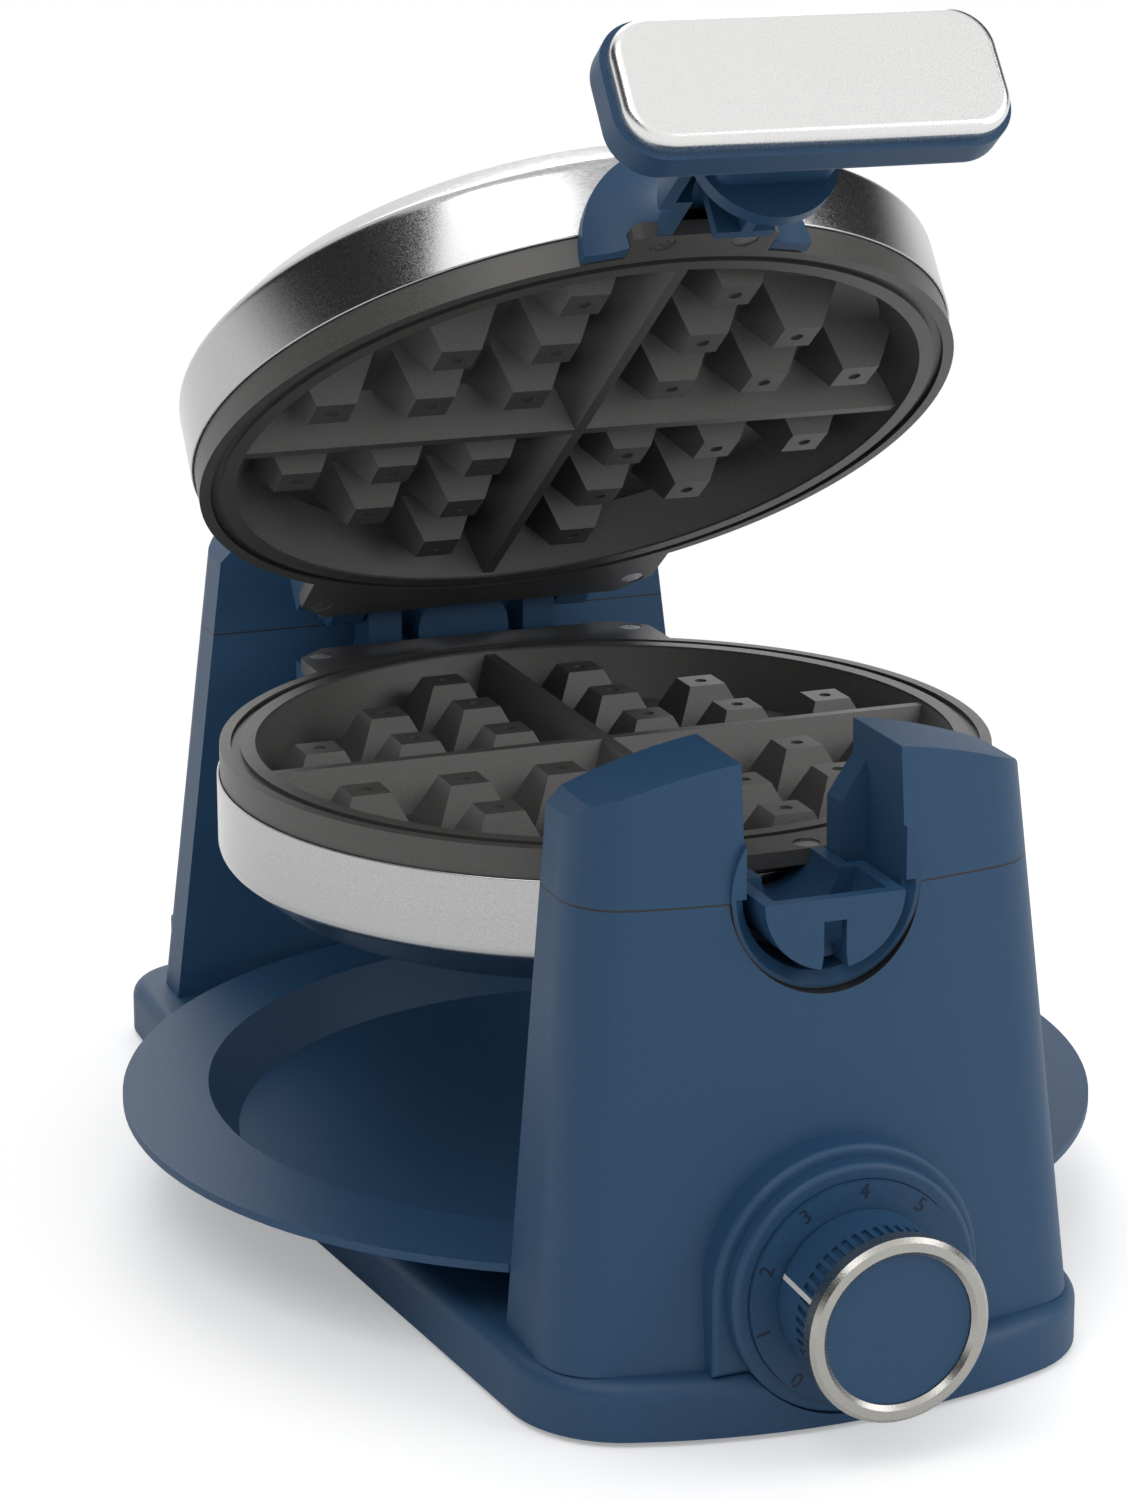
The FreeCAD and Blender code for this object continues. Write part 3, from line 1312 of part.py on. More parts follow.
def settle():
    """Moves every piece along Y, so that knob and plinth reach equally far from the origin."""
    knob_reach = knob_station(S.knob_lift, S.knob_skirt, S.knob_grip, S.knob_ring_depth)
    shift = FreeCAD.Vector(0, (knob_reach - S.plinth_rear) / 2, 0)
    for piece in PIECES:
        piece.Placement.Base = piece.Placement.Base + shift


def export_all():
    """Checks every object, then writes one file for each piece."""
    doc.recompute()
    for item in doc.Objects:
        if {"Invalid", "Error"} & set(item.State):
            raise RuntimeError("%s failed to build" % item.Label)
    for piece in PIECES:
        if piece.Shape.isNull() or not piece.Shape.isValid():
            raise RuntimeError("%s has no valid shape" % piece.Label)
    os.makedirs("parts", exist_ok=True)
    for piece in PIECES:
        piece.Shape.exportStep("parts/%s.step" % piece.Label)


build_all()
settle()
export_all()
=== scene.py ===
"""Looks of the rotary waffle maker: finishes, pressed steel pans, dial print and a plain studio."""
import json
import math

import bmesh
import bpy
import numpy as np
from mathutils import Euler, Matrix, Vector


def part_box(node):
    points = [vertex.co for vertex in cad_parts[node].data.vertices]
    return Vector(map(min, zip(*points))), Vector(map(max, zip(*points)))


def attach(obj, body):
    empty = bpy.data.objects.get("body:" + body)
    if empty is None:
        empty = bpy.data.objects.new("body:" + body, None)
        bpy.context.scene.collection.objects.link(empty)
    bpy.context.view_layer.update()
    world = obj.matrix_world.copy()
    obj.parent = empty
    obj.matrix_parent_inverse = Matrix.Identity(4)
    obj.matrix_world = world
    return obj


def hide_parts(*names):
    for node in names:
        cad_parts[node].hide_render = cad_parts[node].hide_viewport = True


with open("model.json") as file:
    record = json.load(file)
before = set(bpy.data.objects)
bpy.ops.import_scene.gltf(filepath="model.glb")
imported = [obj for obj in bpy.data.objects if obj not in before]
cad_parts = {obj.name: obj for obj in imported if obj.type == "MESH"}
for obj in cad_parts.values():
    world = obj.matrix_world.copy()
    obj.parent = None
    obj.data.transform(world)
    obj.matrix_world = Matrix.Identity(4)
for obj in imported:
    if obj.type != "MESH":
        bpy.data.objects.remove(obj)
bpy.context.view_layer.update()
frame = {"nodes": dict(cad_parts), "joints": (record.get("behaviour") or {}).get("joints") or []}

bl_info = {
    "name": "Rotary waffle maker looks",
    "version": (1, 0, 0),
    "blender": (4, 5, 0),
    "location": "3D View > Sidebar > Waffle",
    "description": "Finishes and fine pieces for the rotary waffle maker",
    "category": "Object",
}

JOINTS = {joint["name"]: joint for joint in frame["joints"]}
AXIS_HEIGHT = JOINTS["iron_turn"]["pos_m"][2]
HINGE = Vector(JOINTS["lid_hinge"]["pos_m"])
LID_ANGLE = math.radians(-JOINTS["lid_hinge"]["range_deg"][0])
KNOB_HEIGHT = JOINTS["knob_turn"]["pos_m"][2]

WELD_DISTANCE = 1e-7
NOISE_SPAN = (0.3, 0.7)  # where nearly all values of the noise lie
PAN_COLUMNS = 160
PAN_WALL_PARTS = 3  # the crease lies one part up the pan's wall
PAN_FOOT_SHARE = 0.4  # how far the bevel draws in, as a share of the pan's height
NUMERAL_COUNT = 7
WHITE = (1.0, 1.0, 1.0, 1.0)


def node_box(node):
    low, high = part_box(node)
    return np.array(low), np.array(high)


def iron_centre():
    """Middle of the irons in Y, from the round pan below."""
    low, high = node_box("lower_shell")
    return float(low[1] + high[1]) / 2


# where the lid lies: half a turn about the axis, then opened on the hinge
LOWER_LIE = Matrix.Translation((0, iron_centre(), AXIS_HEIGHT))
LID_SWING = Matrix.Translation(HINGE) @ Matrix.Rotation(-LID_ANGLE, 4, "X") @ Matrix.Translation(-HINGE)
LID_LIE = LID_SWING @ LOWER_LIE @ Matrix.Rotation(math.pi, 4, "Y")


class WaffleSizes(bpy.types.PropertyGroup):
    """Sizes of the fine pieces, in metres and radians."""

    pan_bend: bpy.props.FloatProperty(
        name="Pan bend", description="Radius of the pressed edges of the steel pans",
        default=0.0022, unit="LENGTH")
    pan_wall: bpy.props.FloatProperty(
        name="Pan wall", description="Sheet thickness of the steel pans", default=0.0008, unit="LENGTH")
    numeral_height: bpy.props.FloatProperty(
        name="Numeral size", description="Size of the dial's numerals", default=0.0052, unit="LENGTH")
    numeral_radius: bpy.props.FloatProperty(
        name="Numeral radius", description="Distance of the numerals from the knob's axis",
        default=0.0248, unit="LENGTH")
    numeral_first: bpy.props.FloatProperty(
        name="First numeral", description="Turn of the 0 from the top, clockwise",
        default=math.radians(-142.0), subtype="ANGLE")
    numeral_step: bpy.props.FloatProperty(
        name="Numeral step", description="Turn from one numeral to the next",
        default=math.radians(36.25), subtype="ANGLE")
    parting_line: bpy.props.FloatProperty(
        name="Parting line", description="Width of the dark line between a tower and its cap",
        default=0.0005, unit="LENGTH")
    print_thickness: bpy.props.FloatProperty(
        name="Print thickness", description="How far the print stands off the dial",
        default=0.00012, unit="LENGTH")


def colour(label, default, note):
    return bpy.props.FloatVectorProperty(
        name=label, description=note, default=default, subtype="COLOR", size=3, min=0.0, max=1.0)


class WaffleColours(bpy.types.PropertyGroup):
    """Base colours of the finishes."""

    navy: colour("Navy", (0.017, 0.060, 0.130), "Matte moulded plastic")
    navy_pale: colour("Navy grain", (0.022, 0.070, 0.147), "Light grains of the moulded plastic")
    steel: colour("Steel", (0.50, 0.50, 0.505), "Brushed steel of the pans")
    steel_dark: colour("Steel grain", (0.40, 0.40, 0.405), "Dark grain of the brushed steel")
    silver: colour("Silver", (0.78, 0.78, 0.772), "Satin metal of the handle's face")
    ring: colour("Ring metal", (0.43, 0.42, 0.395), "Duller satin metal of the knob ring")
    cast: colour("Non-stick", (0.066, 0.064, 0.061), "Coated cast plates")
    cast_pale: colour("Non-stick grain", (0.104, 0.101, 0.097), "Light grains of the coating")
    zinc: colour("Zinc", (0.52, 0.52, 0.53), "Plated fasteners")
    brass: colour("Brass", (0.58, 0.40, 0.15), "Turned bush")
    rubber: colour("Rubber", (0.018, 0.018, 0.019), "Feet")
    black: colour("Black plastic", (0.022, 0.022, 0.024), "Cover, gland and control")
    ceramic: colour("Ceramic", (0.76, 0.75, 0.71), "Terminal block")
    mark: colour("Pale print", (0.62, 0.60, 0.60), "The knob's line")
    ink: colour("Dark print", (0.002, 0.010, 0.030), "Dial numerals")


# meshes

def in_scene(name, data):
    """A new object with the given data, linked to the scene."""
    piece = bpy.data.objects.new(name, data)
    bpy.context.scene.collection.objects.link(piece)
    return piece


def weld(work, mesh):
    """Merges doubles, turns the faces outwards and writes the result into the mesh."""
    bmesh.ops.remove_doubles(work, verts=work.verts, dist=WELD_DISTANCE)
    bmesh.ops.recalc_face_normals(work, faces=work.faces)
    work.to_mesh(mesh)
    work.free()


def surface_object(name, points, close_u=False, close_v=False):
    """Quads over a grid of points: rows along u, columns along v, joined end to end where closed."""
    rows, columns = points.shape[:2]
    index = np.arange(rows * columns).reshape(rows, columns)
    if close_u:
        index = np.vstack([index, index[:1]])
    if close_v:
        index = np.hstack([index, index[:, :1]])
    quads = np.stack([index[:-1, :-1], index[1:, :-1], index[1:, 1:], index[:-1, 1:]], axis=-1)
    mesh = bpy.data.meshes.new(name)
    mesh.from_pydata(points.reshape(-1, 3).tolist(), [], quads.reshape(-1, 4).tolist())
    work = bmesh.new()
    work.from_mesh(mesh)
    weld(work, mesh)
    mesh.polygons.foreach_set("use_smooth", np.ones(len(mesh.polygons), dtype=bool))
    return in_scene(name, mesh)


def rounded_profile(corners, steps=6):
    """Profile through corners (r, z, bend).

    Each bend is the quadratic curve (1-s)^2 a + 2s(1-s) c + s^2 b between its two tangent
    points a and b, with the corner c as its control point.
    """
    corners = np.array(corners, dtype=float)
    runs = [corners[:1, :2]]
    share = np.linspace(0.0, 1.0, steps)[:, None]
    for before, here, after in zip(corners[:-2], corners[1:-1], corners[2:]):
        back = before[:2] - here[:2]
        ahead = after[:2] - here[:2]
        start = here[:2] + back * min(0.5, here[2] / np.linalg.norm(back))
        end = here[:2] + ahead * min(0.5, here[2] / np.linalg.norm(ahead))
        runs.append((1 - share) ** 2 * start + 2 * share * (1 - share) * here[:2] + share ** 2 * end)
    runs.append(corners[-1:, :2])
    return np.vstack(runs)


def turned(profile, count):
    """Profile (r, z) turned about Z: x = r cos t, y = r sin t."""
    turn = np.linspace(0.0, 2 * math.pi, count, endpoint=False)
    radius, height = profile[:, 0], profile[:, 1]
    points = np.empty((count, len(profile), 3))
    points[..., 0] = radius * np.cos(turn)[:, None]
    points[..., 1] = radius * np.sin(turn)[:, None]
    points[..., 2] = height
    return points


def moved(points, matrix):
    """The same grid of points, carried by a 4 x 4 matrix."""
    carry = np.array(matrix)
    return points @ carry[:3, :3].T + carry[:3, 3]


# finishes

def node_at(tree, kind, **sockets):
    """A new node with some of its input sockets set by name."""
    node = tree.nodes.new(kind)
    for name, value in sockets.items():
        node.inputs[name.replace("_", " ")].default_value = value
    return node


def math_node(tree, operation, *sources):
    """Output of a new math node that is fed by the given sockets."""
    node = tree.nodes.new("ShaderNodeMath")
    node.operation = operation
    for source, socket in zip(sources, node.inputs):
        tree.links.new(source, socket)
    return node.outputs["Value"]


def add_sockets(group, direction, kind, *names):
    for name in names:
        group.interface.new_socket(name, in_out=direction, socket_type="NodeSocket" + kind)


def grain_group():
    """Fine grain: noise on given coordinates as a mask from 0 to 1 and as a height."""
    name = "fine grain"
    if name in bpy.data.node_groups:
        return bpy.data.node_groups[name]
    group = bpy.data.node_groups.new(name, "ShaderNodeTree")
    add_sockets(group, "INPUT", "Vector", "Coordinates")
    add_sockets(group, "INPUT", "Float", "Scale", "Detail", "Low", "High")
    add_sockets(group, "OUTPUT", "Float", "Mask", "Value")
    entry = group.nodes.new("NodeGroupInput")
    leave = group.nodes.new("NodeGroupOutput")
    noise = node_at(group, "ShaderNodeTexNoise")
    least, most = NOISE_SPAN
    spread = node_at(group, "ShaderNodeMapRange", From_Min=least, From_Max=most)
    span = node_at(group, "ShaderNodeMapRange", From_Min=least, From_Max=most)
    link = group.links.new
    link(entry.outputs["Coordinates"], noise.inputs["Vector"])
    link(entry.outputs["Scale"], noise.inputs["Scale"])
    link(entry.outputs["Detail"], noise.inputs["Detail"])
    link(noise.outputs["Fac"], spread.inputs["Value"])
    link(noise.outputs["Fac"], span.inputs["Value"])
    link(entry.outputs["Low"], span.inputs["To Min"])
    link(entry.outputs["High"], span.inputs["To Max"])
    link(spread.outputs["Result"], leave.inputs["Mask"])
    link(span.outputs["Result"], leave.inputs["Value"])
    return group


def finish(name, dark, pale, metallic, rough, grain, bump,
           stretch=(1, 1, 1), turn=(0, 0, 0), detail=3.0, **fixed):
    """A principled finish: two near colours, roughness and bump that follow one fine grain.

    rough is the lowest and highest roughness, grain is in cells per metre, bump is the
    height of the grain in metres, and stretch draws the grain out along the turned axes.
    Other sockets of the shader are set by name.
    """
    material = bpy.data.materials.new(name)
    material.use_nodes = True
    tree = material.node_tree
    link = tree.links.new
    shader = tree.nodes["Principled BSDF"]
    place = tree.nodes.new("ShaderNodeTexCoord")
    place.name = "coordinates"
    mapping = tree.nodes.new("ShaderNodeMapping")
    mapping.vector_type = "TEXTURE"
    mapping.inputs["Rotation"].default_value = turn
    mapping.inputs["Scale"].default_value = stretch
    grains = tree.nodes.new("ShaderNodeGroup")
    grains.node_tree = grain_group()
    grains.inputs["Scale"].default_value = grain
    grains.inputs["Detail"].default_value = detail
    grains.inputs["Low"].default_value = rough[0]
    grains.inputs["High"].default_value = rough[1]
    blend = tree.nodes.new("ShaderNodeMix")
    blend.name = "grain colour"
    blend.data_type = "RGBA"
    blend.inputs["A"].default_value = (*dark, 1.0)
    blend.inputs["B"].default_value = (*pale, 1.0)
    relief = node_at(tree, "ShaderNodeBump", Strength=1.0, Distance=bump)
    link(place.outputs["Object"], mapping.inputs["Vector"])
    link(mapping.outputs["Vector"], grains.inputs["Coordinates"])
    link(grains.outputs["Mask"], blend.inputs["Factor"])
    link(blend.outputs["Result"], shader.inputs["Base Color"])
    link(grains.outputs["Value"], shader.inputs["Roughness"])
    link(grains.outputs["Mask"], relief.inputs["Height"])
    link(relief.outputs["Normal"], shader.inputs["Normal"])
    shader.inputs["Metallic"].default_value = metallic
    for socket, value in fixed.items():
        shader.inputs[socket.replace("_", " ")].default_value = value
    return material


def parting_line_group():
    """Dark parting lines: 1 within half a line's width of a level, or of a ring about the axis.

    The level counts outside the ring, and the ring below the level.
    """
    name = "parting lines"
    if name in bpy.data.node_groups:
        return bpy.data.node_groups[name]
    group = bpy.data.node_groups.new(name, "ShaderNodeTree")
    add_sockets(group, "INPUT", "Vector", "Coordinates")
    add_sockets(group, "INPUT", "Float", "Level", "Axis Height", "Ring Radius", "Half Width")
    add_sockets(group, "OUTPUT", "Float", "Line")
    entry = group.nodes.new("NodeGroupInput").outputs
    leave = group.nodes.new("NodeGroupOutput")
    split = group.nodes.new("ShaderNodeSeparateXYZ")
    group.links.new(entry["Coordinates"], split.inputs["Vector"])
    across, height = split.outputs["X"], split.outputs["Z"]

    def calc(operation, *sources):
        return math_node(group, operation, *sources)

    def near(value, target):
        away = calc("ABSOLUTE", calc("SUBTRACT", value, target))
        return calc("LESS_THAN", away, entry["Half Width"])

    rise = calc("SUBTRACT", height, entry["Axis Height"])
    squares = calc("ADD", calc("MULTIPLY", across, across), calc("MULTIPLY", rise, rise))
    radius = calc("SQRT", squares)
    below = calc("LESS_THAN", height, entry["Level"])
    outside = calc("GREATER_THAN", radius, entry["Ring Radius"])
    on_ring = calc("MULTIPLY", near(radius, entry["Ring Radius"]), below)
    on_level = calc("MULTIPLY", near(height, entry["Level"]), outside)
    group.links.new(calc("MAXIMUM", on_ring, on_level), leave.inputs["Line"])
    return group


def add_parting_lines(material, level, ring):
    """Draws a tower's parting lines into a finish that is already made."""
    tree = material.node_tree
    shader = tree.nodes["Principled BSDF"]
    blend = tree.nodes["grain colour"]
    place = tree.nodes["coordinates"]
    lines = tree.nodes.new("ShaderNodeGroup")
    lines.node_tree = parting_line_group()
    lines.inputs["Level"].default_value = level
    lines.inputs["Axis Height"].default_value = AXIS_HEIGHT
    lines.inputs["Ring Radius"].default_value = ring
    lines.inputs["Half Width"].default_value = bpy.context.scene.waffle_sizes.parting_line / 2
    darker = tree.nodes.new("ShaderNodeMix")
    darker.data_type = "RGBA"
    darker.inputs["B"].default_value = (*bpy.context.scene.waffle_colours.black, 1.0)
    link = tree.links.new
    link(place.outputs["Object"], lines.inputs["Coordinates"])
    link(blend.outputs["Result"], darker.inputs["A"])
    link(lines.outputs["Line"], darker.inputs["Factor"])
    link(darker.outputs["Result"], shader.inputs["Base Color"])
    return material


def dress(material, *nodes):
    """Gives CAD nodes a finish."""
    for node in nodes:
        piece = frame["nodes"][node]
        piece.data.materials.clear()
        piece.data.materials.append(material)


def new_piece(piece, material, body, slot, *replaced):
    """Finishes a new piece, ties it to its body and hides the nodes that it stands for."""
    piece.data.materials.append(material)
    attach(piece, body)
    if replaced:
        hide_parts(*replaced)


def navy():
    tones = bpy.context.scene.waffle_colours
    return finish("navy matte plastic", tones.navy, tones.navy_pale, metallic=0.0,
                  rough=(0.42, 0.54), grain=1500.0, bump=0.00002, Specular_IOR_Level=0.35)


def zinc():
    tones = bpy.context.scene.waffle_colours
    return finish("plated steel", tones.zinc, tones.steel, metallic=1.0,
                  rough=(0.25, 0.4), grain=900.0, bump=0.00001)


def black():
    tones = bpy.context.scene.waffle_colours
    return finish("black plastic", tones.black, tones.rubber, metallic=0.0,
                  rough=(0.45, 0.6), grain=1200.0, bump=0.00002)


def foot_rubber():
    tones = bpy.context.scene.waffle_colours
    return finish("foot rubber", tones.rubber, tones.black, metallic=0.0,
                  rough=(0.6, 0.8), grain=2500.0, bump=0.00003)


def turned_brass():
    tones = bpy.context.scene.waffle_colours
    return finish("turned brass", tones.brass, tones.brass, metallic=1.0,
                  rough=(0.2, 0.35), grain=700.0, bump=0.00001)


def terminal_ceramic():
    tones = bpy.context.scene.waffle_colours
    return finish("terminal ceramic", tones.ceramic, tones.ceramic, metallic=0.0,
                  rough=(0.4, 0.55), grain=800.0, bump=0.00002)


def non_stick():
    tones = bpy.context.scene.waffle_colours
    return finish("non-stick coating", tones.cast, tones.cast_pale, metallic=0.25,
                  rough=(0.34, 0.5), grain=2200.0, bump=0.00002)


def brushed_steel(name, tilt):
    """Brushed along X, with the streaks tilted as the pan is."""
    tones = bpy.context.scene.waffle_colours
    return finish(name, tones.steel_dark, tones.steel, metallic=1.0,
                  rough=(0.15, 0.26), grain=2600.0, bump=0.000004,
                  stretch=(14.0, 1.0, 1.0), turn=(-tilt, 0.0, 0.0), detail=4.0)


def satin_metal(name, tone):
    return finish(name, tone, tone, metallic=1.0, rough=(0.22, 0.3), grain=3000.0, bump=0.000008)


def print_finish(name, tone):
    return finish(name, tone, tone, metallic=0.0, rough=(0.5, 0.6), grain=1800.0, bump=0.000004)


# pieces

class WAFFLE_OT_base(bpy.types.Operator):
    """Finishes of plinth, towers, caps, feet and the fixed pieces inside."""

    bl_idname = "waffle.base"
    bl_label = "Base"

    def execute(self, context):
        dress(navy(), "base_plinth", "dial_ring")
        front_split = float(node_box("front_tower")[1][2])
        collar = AXIS_HEIGHT - float(node_box("front_tower_cap")[0][2])
        dress(add_parting_lines(navy(), front_split, collar), "front_tower", "front_tower_cap")
        rear_split = float(node_box("rear_tower")[1][2])
        dress(add_parting_lines(navy(), rear_split, 0.0), "rear_tower", "rear_tower_cap")
        dress(black(), "bottom_cover", "thermostat_body", "cord_gland")
        dress(zinc(), "base_screws", "tower_screws", "thermostat_nut")
        dress(foot_rubber(), "rubber_feet")
        dress(turned_brass(), "pivot_bush")
        dress(terminal_ceramic(), "terminal_block")
        return {"FINISHED"}


class WAFFLE_OT_tray(bpy.types.Operator):
    """Finish of the drip tray."""

    bl_idname = "waffle.tray"
    bl_label = "Drip tray"

    def execute(self, context):
        dress(navy(), "drip_tray")
        return {"FINISHED"}


class WAFFLE_OT_knob(bpy.types.Operator):
    """Finishes of the browning knob."""

    bl_idname = "waffle.knob"
    bl_label = "Knob"

    def execute(self, context):
        tones = context.scene.waffle_colours
        dress(navy(), "knob_body", "knob_face")
        dress(satin_metal("satin ring metal", tones.ring), "knob_ring")
        dress(print_finish("pale print", tones.mark), "knob_pointer")
        dress(zinc(), "thermostat_shaft")
        return {"FINISHED"}


class WAFFLE_OT_numerals(bpy.types.Operator):
    """Printed numerals from 0 to 6 round the dial."""

    bl_idname = "waffle.numerals"
    bl_label = "Dial numerals"

    def execute(self, context):
        sizes = context.scene.waffle_sizes
        tones = context.scene.waffle_colours
        low, _ = node_box("dial_ring")
        stand = Matrix.Rotation(math.pi / 2, 4, "X")
        merged = bmesh.new()
        for number in range(NUMERAL_COUNT):
            turn = sizes.numeral_first + number * sizes.numeral_step
            spin = Matrix.Rotation(-turn, 4, "Z")
            place = (Matrix.Translation((0, low[1], KNOB_HEIGHT)) @ stand @ spin
                     @ Matrix.Translation((0, sizes.numeral_radius, 0)))
            mesh = numeral_mesh(str(number), sizes)
            mesh.transform(place)
            merged.from_mesh(mesh)
            bpy.data.meshes.remove(mesh)
        mesh = bpy.data.meshes.new("dial_numerals")
        weld(merged, mesh)
        piece = in_scene("dial_numerals", mesh)
        new_piece(piece, print_finish("dark print", tones.ink), "base", "black_plastic")
        return {"FINISHED"}


def numeral_mesh(word, sizes):
    """One extruded numeral as a mesh, centred on the origin in XY and standing on z = 0."""
    curve = bpy.data.curves.new("numeral", "FONT")
    curve.body = word
    curve.size = sizes.numeral_height
    curve.align_x = "CENTER"
    curve.align_y = "CENTER"
    curve.extrude = sizes.print_thickness / 2
    holder = in_scene("numeral", curve)
    bpy.context.view_layer.update()
    mesh = bpy.data.meshes.new_from_object(holder.evaluated_get(bpy.context.evaluated_depsgraph_get()))
    bpy.data.objects.remove(holder)
    bpy.data.curves.remove(curve)
    mesh.transform(Matrix.Translation((0, 0, sizes.print_thickness / 2)))
    return mesh


class WAFFLE_OT_pans(bpy.types.Operator):
    """Brushed steel pans of both irons, with pressed round edges."""

    bl_idname = "waffle.pans"
    bl_label = "Steel pans"

    def execute(self, context):
        profile = pan_profile(context.scene.waffle_sizes)
        for name, lie, body, tilt in (("lower_pan", LOWER_LIE, "lower_iron", 0.0),
                                      ("upper_pan", LID_LIE, "lid", LID_ANGLE)):
            piece = surface_object(name, moved(turned(profile, PAN_COLUMNS), lie), close_u=True)
            new_piece(piece, brushed_steel(name + " brushed steel", tilt), body, "brushed_shell",
                      name.replace("pan", "shell"))
        return {"FINISHED"}


def pan_profile(sizes):
    """Half section of a pan, from the middle of its outside round its rim to the middle inside."""
    low, high = node_box("lower_shell")
    outer = float(high[0])
    floor = float(low[2]) - AXIS_HEIGHT
    top = float(high[2]) - AXIS_HEIGHT
    crease = floor + (top - floor) / PAN_WALL_PARTS
    foot = outer - (top - floor) * PAN_FOOT_SHARE
    wall, bend = sizes.pan_wall, sizes.pan_bend
    outside = [(0, floor, 0), (foot, floor, bend), (outer, crease, bend), (outer, top, wall / 2)]
    inside = [(outer - wall, top, wall / 2), (outer - wall, crease + wall / 2, bend),
              (foot - wall / 2, floor + wall, bend), (0, floor + wall, 0)]
    return rounded_profile(outside + inside)


class WAFFLE_OT_irons(bpy.types.Operator):
    """Finishes of plates, hubs, brackets, elements, axle and screws."""

    bl_idname = "waffle.irons"
    bl_label = "Irons"

    def execute(self, context):
        dress(non_stick(), "lower_plate", "upper_plate")
        dress(navy(), "lower_hub", "upper_hub", "lower_bracket", "upper_bracket")
        dress(zinc(), "lower_element", "upper_element", "pivot_tube", "pivot_clip", "hinge_pins",
              "lower_screws", "upper_screws")
        return {"FINISHED"}


class WAFFLE_OT_handle(bpy.types.Operator):
    """Finishes of the T-bar handle."""

    bl_idname = "waffle.handle"
    bl_label = "Handle"

    def execute(self, context):
        tones = context.scene.waffle_colours
        dress(navy(), "handle_body")
        dress(satin_metal("satin silver", tones.silver), "handle_cap")
        dress(zinc(), "handle_screws")
        return {"FINISHED"}


# stage

# the camera, in pixels of the photograph, metres and radians
PHOTO_HEIGHT = 1500
FOCAL_PIXELS = 3763.0
OPTICAL_CENTRE = (605.5, 513.0)
PHOTO_MIDDLE = (564.0, 750.0)
SENSOR_HEIGHT = 24.0
VIEW_TURN = math.radians(-21.02)
VIEW_RISE = math.radians(12.63)
VIEW_DISTANCE = 0.9947
VIEW_AIM_HEIGHT = 0.1868
VIEW_DEPTH = 30.0
# the floor: half its width, its tone, where it fades out and how much it glows to the camera
FLOOR_REACH = 6.0
FLOOR_TONE = (0.96, 0.96, 0.96, 1.0)
FLOOR_FADE = (0.18, 0.52)
FLOOR_LIFT = 0.3
# the room in reflections, by direction: sideways share, then upward share from floor and ceiling
SIDE_SPAN = (0.4, 0.58)
FLOOR_SPAN = (0.0, 0.3)
CEILING_SPAN = (0.8, 0.74)
SIDE_DIM = (0.03, 0.03, 0.03, 1.0)
ROOM_LIGHT = 0.5
# name, place and width in metres, power in watts
LAMPS = (
    ("key lamp", (1.6, -1.15, 1.15), 1.5, 19.0),
    ("top lamp", (-0.85, -0.75, 1.65), 1.1, 8.5),
    ("back lamp", (0.3, 1.4, 1.5), 1.2, 11.0),
)


class WAFFLE_OT_stage(bpy.types.Operator):
    """Pale floor, soft lamps and the camera."""

    bl_idname = "waffle.stage"
    bl_label = "Stage"

    def execute(self, context):
        build_floor()
        build_world(context.scene)
        for lamp in LAMPS:
            add_lamp(*lamp)
        build_camera(context.scene)
        context.scene.view_settings.view_transform = "Standard"
        return {"FINISHED"}


def build_floor():
    mesh = bpy.data.meshes.new("floor")
    reach = FLOOR_REACH
    corners = [(-reach, -reach, 0), (reach, -reach, 0), (reach, reach, 0), (-reach, reach, 0)]
    mesh.from_pydata(corners, [], [(0, 1, 2, 3)])
    floor = in_scene("floor", mesh)
    mesh.materials.append(floor_material())


def floor_material():
    """Pale matte floor, lifted a little to the camera, that fades into the white surroundings."""
    material = bpy.data.materials.new("pale floor")
    material.use_nodes = True
    tree = material.node_tree
    link = tree.links.new
    shader = tree.nodes["Principled BSDF"]
    shader.inputs["Base Color"].default_value = FLOOR_TONE
    shader.inputs["Roughness"].default_value = 0.9
    shader.inputs["Specular IOR Level"].default_value = 0.1
    place = tree.nodes.new("ShaderNodeTexCoord")
    distance = tree.nodes.new("ShaderNodeVectorMath")
    distance.operation = "LENGTH"
    start, end = FLOOR_FADE
    fade = node_at(tree, "ShaderNodeMapRange", From_Min=start, From_Max=end, To_Min=1.0, To_Max=0.0)
    link(place.outputs["Object"], distance.inputs[0])
    link(distance.outputs["Value"], fade.inputs["Value"])
    link(fade.outputs["Result"], shader.inputs["Alpha"])
    path = tree.nodes.new("ShaderNodeLightPath")
    lift = tree.nodes.new("ShaderNodeMath")
    lift.operation = "MULTIPLY"
    lift.inputs[1].default_value = FLOOR_LIFT
    shader.inputs["Emission Color"].default_value = WHITE
    link(path.outputs["Is Camera Ray"], lift.inputs[0])
    link(lift.outputs["Value"], shader.inputs["Emission Strength"])
    return material


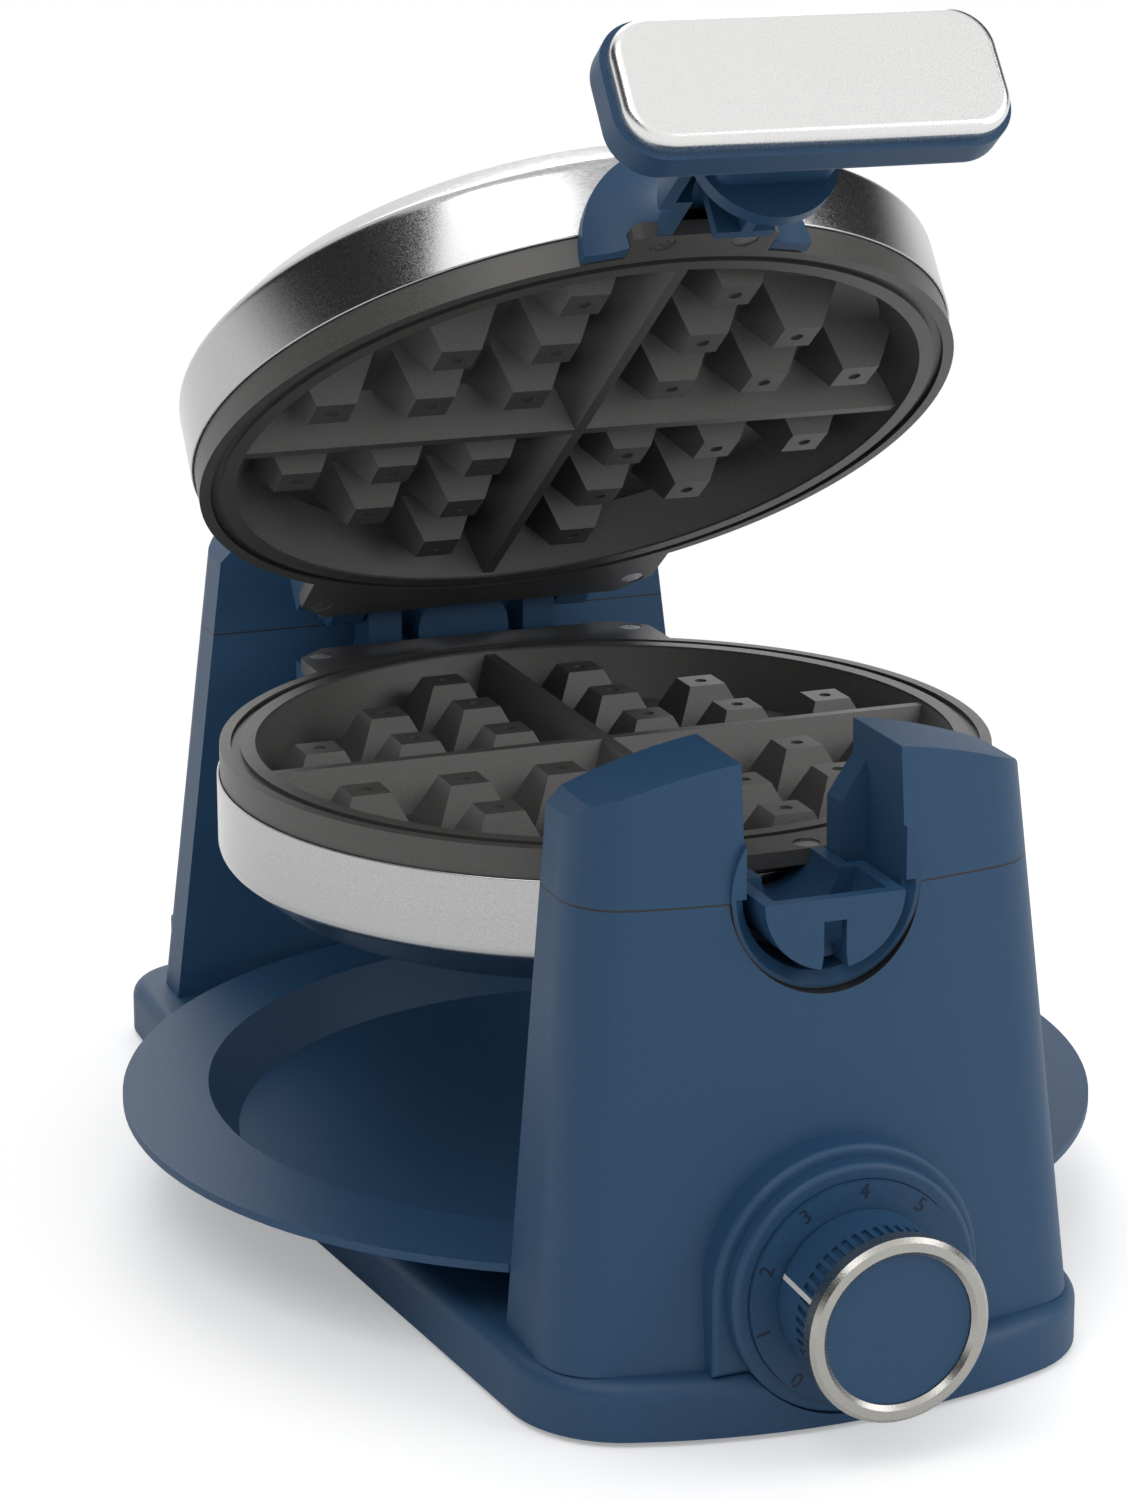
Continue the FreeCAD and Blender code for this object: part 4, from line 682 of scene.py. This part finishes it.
def build_world(scene):
    """White to the camera, a studio with dim sides in reflections, and a softer white as light."""
    world = bpy.data.worlds.new("studio")
    world.use_nodes = True
    scene.world = world
    tree = world.node_tree
    link = tree.links.new
    light = tree.nodes["Background"]
    light.inputs["Color"].default_value = WHITE
    light.inputs["Strength"].default_value = ROOM_LIGHT
    seen = node_at(tree, "ShaderNodeBackground", Color=WHITE, Strength=1.0)
    mirrored = node_at(tree, "ShaderNodeBackground", Strength=1.0)
    link(dim_sides(tree), mirrored.inputs["Color"])
    path = tree.nodes.new("ShaderNodeLightPath")
    in_metal = tree.nodes.new("ShaderNodeMixShader")
    to_camera = tree.nodes.new("ShaderNodeMixShader")
    link(path.outputs["Is Glossy Ray"], in_metal.inputs["Fac"])
    link(light.outputs["Background"], in_metal.inputs[1])
    link(mirrored.outputs["Background"], in_metal.inputs[2])
    link(path.outputs["Is Camera Ray"], to_camera.inputs["Fac"])
    link(in_metal.outputs["Shader"], to_camera.inputs[1])
    link(seen.outputs["Background"], to_camera.inputs[2])
    link(to_camera.outputs["Shader"], tree.nodes["World Output"].inputs["Surface"])


def dim_sides(tree):
    """Colour by direction: white, but dim to the left and right between the floor and the ceiling."""
    link = tree.links.new

    def ramp(source, start, end):
        node = node_at(tree, "ShaderNodeMapRange", From_Min=start, From_Max=end)
        node.interpolation_type = "SMOOTHSTEP"
        link(source, node.inputs["Value"])
        return node.outputs["Result"]

    place = tree.nodes.new("ShaderNodeTexCoord")
    split = tree.nodes.new("ShaderNodeSeparateXYZ")
    link(place.outputs["Generated"], split.inputs["Vector"])
    aside = ramp(math_node(tree, "ABSOLUTE", split.outputs["X"]), *SIDE_SPAN)
    above_floor = ramp(split.outputs["Z"], *FLOOR_SPAN)
    under_ceiling = ramp(split.outputs["Z"], *CEILING_SPAN)
    mix = tree.nodes.new("ShaderNodeMix")
    mix.data_type = "RGBA"
    mix.inputs["A"].default_value = WHITE
    mix.inputs["B"].default_value = SIDE_DIM
    between = math_node(tree, "MULTIPLY", aside, above_floor)
    link(math_node(tree, "MULTIPLY", between, under_ceiling), mix.inputs["Factor"])
    return mix.outputs["Result"]


def add_lamp(name, place, size, power):
    lamp = bpy.data.lights.new(name, "AREA")
    lamp.size = size
    lamp.energy = power
    holder = in_scene(name, lamp)
    holder.location = place
    aim = Vector((0, 0, VIEW_AIM_HEIGHT)) - Vector(place)
    holder.rotation_euler = aim.to_track_quat("-Z", "Y").to_euler()


def build_camera(scene):
    lens = bpy.data.cameras.new("photo view")
    lens.sensor_fit = "VERTICAL"
    lens.sensor_height = SENSOR_HEIGHT
    lens.lens = FOCAL_PIXELS * SENSOR_HEIGHT / PHOTO_HEIGHT
    lens.shift_x = (PHOTO_MIDDLE[0] - OPTICAL_CENTRE[0]) / PHOTO_HEIGHT
    lens.shift_y = (OPTICAL_CENTRE[1] - PHOTO_MIDDLE[1]) / PHOTO_HEIGHT
    lens.clip_end = VIEW_DEPTH
    camera = in_scene("photo view", lens)
    flat = math.cos(VIEW_RISE)
    back = Vector((math.sin(VIEW_TURN) * flat, -math.cos(VIEW_TURN) * flat, math.sin(VIEW_RISE)))
    camera.location = Vector((0, iron_centre(), VIEW_AIM_HEIGHT)) + back * VIEW_DISTANCE
    camera.rotation_euler = Euler((math.pi / 2 - VIEW_RISE, 0.0, VIEW_TURN))
    scene.camera = camera


OPERATORS = (
    WAFFLE_OT_base,
    WAFFLE_OT_tray,
    WAFFLE_OT_knob,
    WAFFLE_OT_numerals,
    WAFFLE_OT_pans,
    WAFFLE_OT_irons,
    WAFFLE_OT_handle,
    WAFFLE_OT_stage,
)


class WAFFLE_PT_panel(bpy.types.Panel):
    """Sizes, colours and the operators."""

    bl_idname = "WAFFLE_PT_panel"
    bl_label = "Waffle maker"
    bl_space_type = "VIEW_3D"
    bl_region_type = "UI"
    bl_category = "Waffle"

    def draw(self, context):
        for group in (context.scene.waffle_sizes, context.scene.waffle_colours):
            for name in group.__annotations__:
                self.layout.prop(group, name)
        for operator in OPERATORS:
            self.layout.operator(operator.bl_idname)


CLASSES = (WaffleSizes, WaffleColours, *OPERATORS, WAFFLE_PT_panel)


def register():
    for item in CLASSES:
        bpy.utils.register_class(item)
    bpy.types.Scene.waffle_sizes = bpy.props.PointerProperty(type=WaffleSizes)
    bpy.types.Scene.waffle_colours = bpy.props.PointerProperty(type=WaffleColours)


def unregister():
    del bpy.types.Scene.waffle_colours
    del bpy.types.Scene.waffle_sizes
    for item in reversed(CLASSES):
        bpy.utils.unregister_class(item)


def main():
    register()
    bpy.ops.waffle.base()
    bpy.ops.waffle.tray()
    bpy.ops.waffle.knob()
    bpy.ops.waffle.numerals()
    bpy.ops.waffle.pans()
    bpy.ops.waffle.irons()
    bpy.ops.waffle.handle()
    bpy.ops.waffle.stage()


if __name__ == "__main__":
    main()
